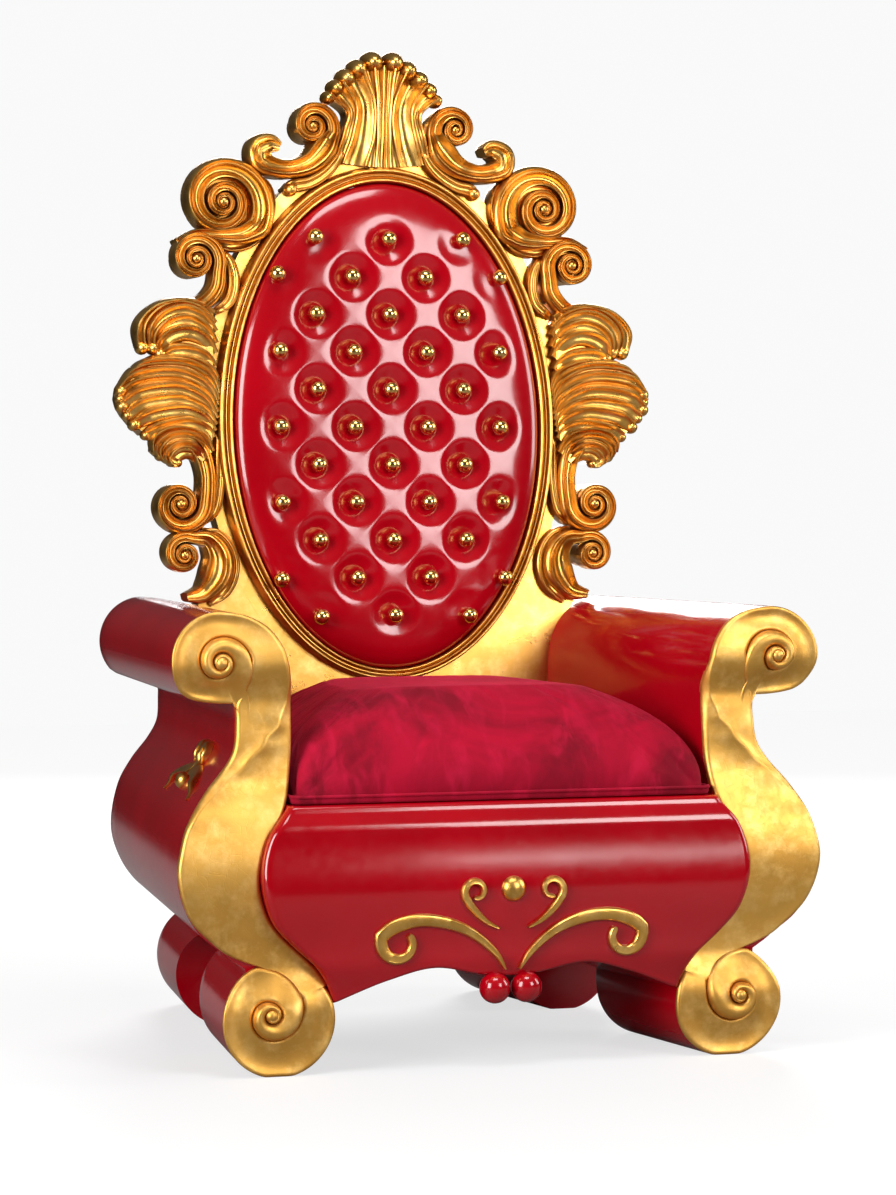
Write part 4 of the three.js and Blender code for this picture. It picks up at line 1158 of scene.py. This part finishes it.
def swell(piece):
    """Blows the cushion up a little as cloth, so that its cover strains between the seams."""
    low = vertex_places(piece.data).min(axis=0)
    remesh = piece.modifiers.new("even", "REMESH")
    remesh.mode = "VOXEL"
    remesh.voxel_size = 0.006
    graph = bpy.context.evaluated_depsgraph_get()
    even = bpy.data.meshes.new_from_object(piece.evaluated_get(graph))
    piece.modifiers.remove(remesh)
    piece.data = even
    before = vertex_places(even)
    held = piece.vertex_groups.new(name="foot")
    foot = np.flatnonzero(before[:, 2] < low[2] + 0.011)
    held.add(foot.tolist(), 1.0, "REPLACE")
    cloth = piece.modifiers.new("cloth", "CLOTH")
    cloth.settings.quality = 4
    cloth.settings.mass = 0.3
    cloth.settings.tension_stiffness = 12
    cloth.settings.compression_stiffness = 12
    cloth.settings.bending_stiffness = 0.6
    cloth.settings.use_pressure = True
    cloth.settings.uniform_pressure_force = 4
    cloth.settings.vertex_group_mass = "foot"
    cloth.settings.effector_weights.gravity = 0
    cloth.collision_settings.use_collision = False
    scene = bpy.context.scene
    for step in range(1, 21):
        scene.frame_set(step)
    graph = bpy.context.evaluated_depsgraph_get()
    blown = piece.evaluated_get(graph).to_mesh()
    after = vertex_places(blown)
    piece.evaluated_get(graph).to_mesh_clear()
    piece.modifiers.remove(cloth)
    scene.frame_set(1)
    move = after - before
    size = np.maximum(np.linalg.norm(move, axis=1), 1e-9)[:, None]
    move *= np.minimum(size, SWELL_CAP) / size
    even.vertices.foreach_set("co", (before + move).ravel())
    piece.vertex_groups.clear()


def tuck(piece):
    """Draws the cover in along the seam, in fine gathers that die away up the front."""
    points = vertex_places(piece.data)
    x, y, z = (points - [0, front_plane, 0]).T / MM
    above = z - CUSHION["hem"]
    fade = np.exp(-np.maximum(above, 0) / 26) * (above > -2)
    edge = np.clip((np.abs(x) - 150) / 230, 0.15, 1)
    ripple = np.sin(x / 5.3 + 1.7 * np.sin(x / 31) + 0.05 * y) + 0.6 * np.sin(x / 3.1 + y / 7)
    points[:, 1] += MM * fade * edge * 0.9 * ripple
    piece.data.vertices.foreach_set("co", points.ravel())


velvet = velvet_material()
cushion = make_piece("velvet_cushion", [make_cushion(CUSHION_START)], velvet,
                     replaces=["seat_cushion"], sharp=180)
swell(cushion)
tuck(cushion)
smooth_cover = cushion.modifiers.new("cover", "SUBSURF")
smooth_cover.levels = smooth_cover.render_levels = 1
cushion.data.shade_smooth()


def hem_line(outset):
    """The cushion's outline at the seam, as a closed line seen from above."""
    front = CUSHION["front"]
    rear = CUSHION["rear"]
    corner = 24
    half_front = CUSHION["half"] - SIDE_CLOSING * front
    half_rear = CUSHION["half"] - SIDE_CLOSING * rear
    line = np.concatenate([
        arc((half_front - corner, front + corner), corner + outset, -90, 0, 12),
        arc((half_rear - corner, rear - corner), corner + outset, 0, 90, 12),
        arc((-half_rear + corner, rear - corner), corner + outset, 90, 180, 12),
        arc((-half_front + corner, front + corner), corner + outset, 180, 270, 12),
    ])
    return evenly(np.concatenate([line, line[:1]]), 500)[:-1]


def make_piping():
    """A welt of the same velvet round the seam, over a low upright band."""
    line = hem_line(-1.5)
    way = np.roll(line, -1, axis=0) - np.roll(line, 1, axis=0)
    way /= np.hypot(*way.T)[:, None]
    out = np.stack([way[:, 1], -way[:, 0]], axis=1)
    welt = arc((0, CUSHION["hem"] + 1), 3.2, 0, 360, 15)[:-1]
    strip = [(0.4, CUSHION["hem"] - 1), (0.6, 472), (-0.4, 468.5), (-2.5, 466.8), (-9, 466.8),
             (-9, CUSHION["hem"] - 1)]

    def swept(section):
        loops = [np.column_stack([line + out * px, np.full(len(line), pz)]) for px, pz in section]
        return skin(np.stack(loops, axis=1), looped=True)

    return [swept(welt), swept(strip)]


piping = make_piece("cushion_piping", make_piping(), velvet, replaces=["seat_cushion"])

# ---- Floor, light and camera ---------------------------------------------------------
# A plain pale floor, soft boxes above and to the sides, and a long lens.
floor_mesh = bpy.data.meshes.new("floor")
floor_mesh.from_pydata([(-9, -9, 0), (9, -9, 0), (9, 9, 0), (-9, 9, 0)], [], [(0, 1, 2, 3)])
floor = add_object("floor", floor_mesh)
floor_paint, tree, shader = new_material("pale floor")
shader.inputs["Base Color"].default_value = (0.2, 0.2, 0.2, 1)
shader.inputs["Roughness"].default_value = 0.75
shader.inputs["Emission Color"].default_value = (1, 1, 1, 1)
away = add_node(tree, "ShaderNodeVectorMath", {0: object_place(tree)}, operation="LENGTH").outputs["Value"]
seen = add_node(tree, "ShaderNodeLightPath").outputs["Is Camera Ray"]
lifted = add_node(tree, "ShaderNodeMath", {0: ramp(tree, away, 0.8, 4.5, 0.68, 0.90), 1: seen},
                  operation="MULTIPLY").outputs[0]
tree.links.new(lifted, shader.inputs["Emission Strength"])
floor_mesh.materials.append(floor_paint)

world = bpy.data.worlds.new("studio")
bpy.context.scene.world = world
world.use_nodes = True
sky = world.node_tree
way_up = add_node(sky, "ShaderNodeSeparateXYZ", {
    "Vector": add_node(sky, "ShaderNodeTexCoord").outputs["Generated"],
}).outputs["Z"]
glow = ramp(sky, way_up, 0.0, 0.9, 0.02, 0.16)
seen = add_node(sky, "ShaderNodeLightPath").outputs["Is Camera Ray"]
strength = add_node(sky, "ShaderNodeMix", {0: seen, 2: glow, 3: 0.95}).outputs[0]
sky.links.new(strength, sky.nodes["Background"].inputs["Strength"])
sky.nodes["Background"].inputs["Color"].default_value = (1, 1, 1, 1)
bpy.context.scene.view_settings.view_transform = "Standard"


def add_softbox(name, place, aim, size, power):
    light = bpy.data.lights.new(name, "AREA")
    light.shape = "RECTANGLE"
    light.size, light.size_y = size
    light.energy = power
    lamp = add_object(name, light)
    lamp.location = place
    lamp.rotation_euler = (Vector(aim) - Vector(place)).to_track_quat("-Z", "Y").to_euler()


add_softbox("front", (2.1, -4.6, 2.3), (0, 0.2, 1.0), (1.6, 2.0), 125)
add_softbox("left", (-4.3, -2.6, 2.0), (0, 0, 0.8), (2.0, 3.0), 270)
add_softbox("right", (4.4, -1.0, 2.2), (0, 0, 0.9), (1.4, 2.4), 90)
add_softbox("rear", (1.6, 5.2, 2.6), (0, 0.3, 0.8), (2.2, 2.2), 150)
add_softbox("top", (-0.2, -1.8, 4.4), (0, 0, 0.5), (2.0, 1.2), 90)

camera_data = bpy.data.cameras.new("camera")
camera_data.sensor_fit = "VERTICAL"
camera_data.sensor_height = 36
camera_data.lens = 112.94
camera_dip = 0.02926         # radians below level
camera_turn = math.radians(18)
camera = add_object("camera", camera_data)
camera.location = (-2.1189, -6.6396, 1.0111)
camera.rotation_euler = (math.radians(90) - camera_dip, 0, -camera_turn)
bpy.context.scene.camera = camera
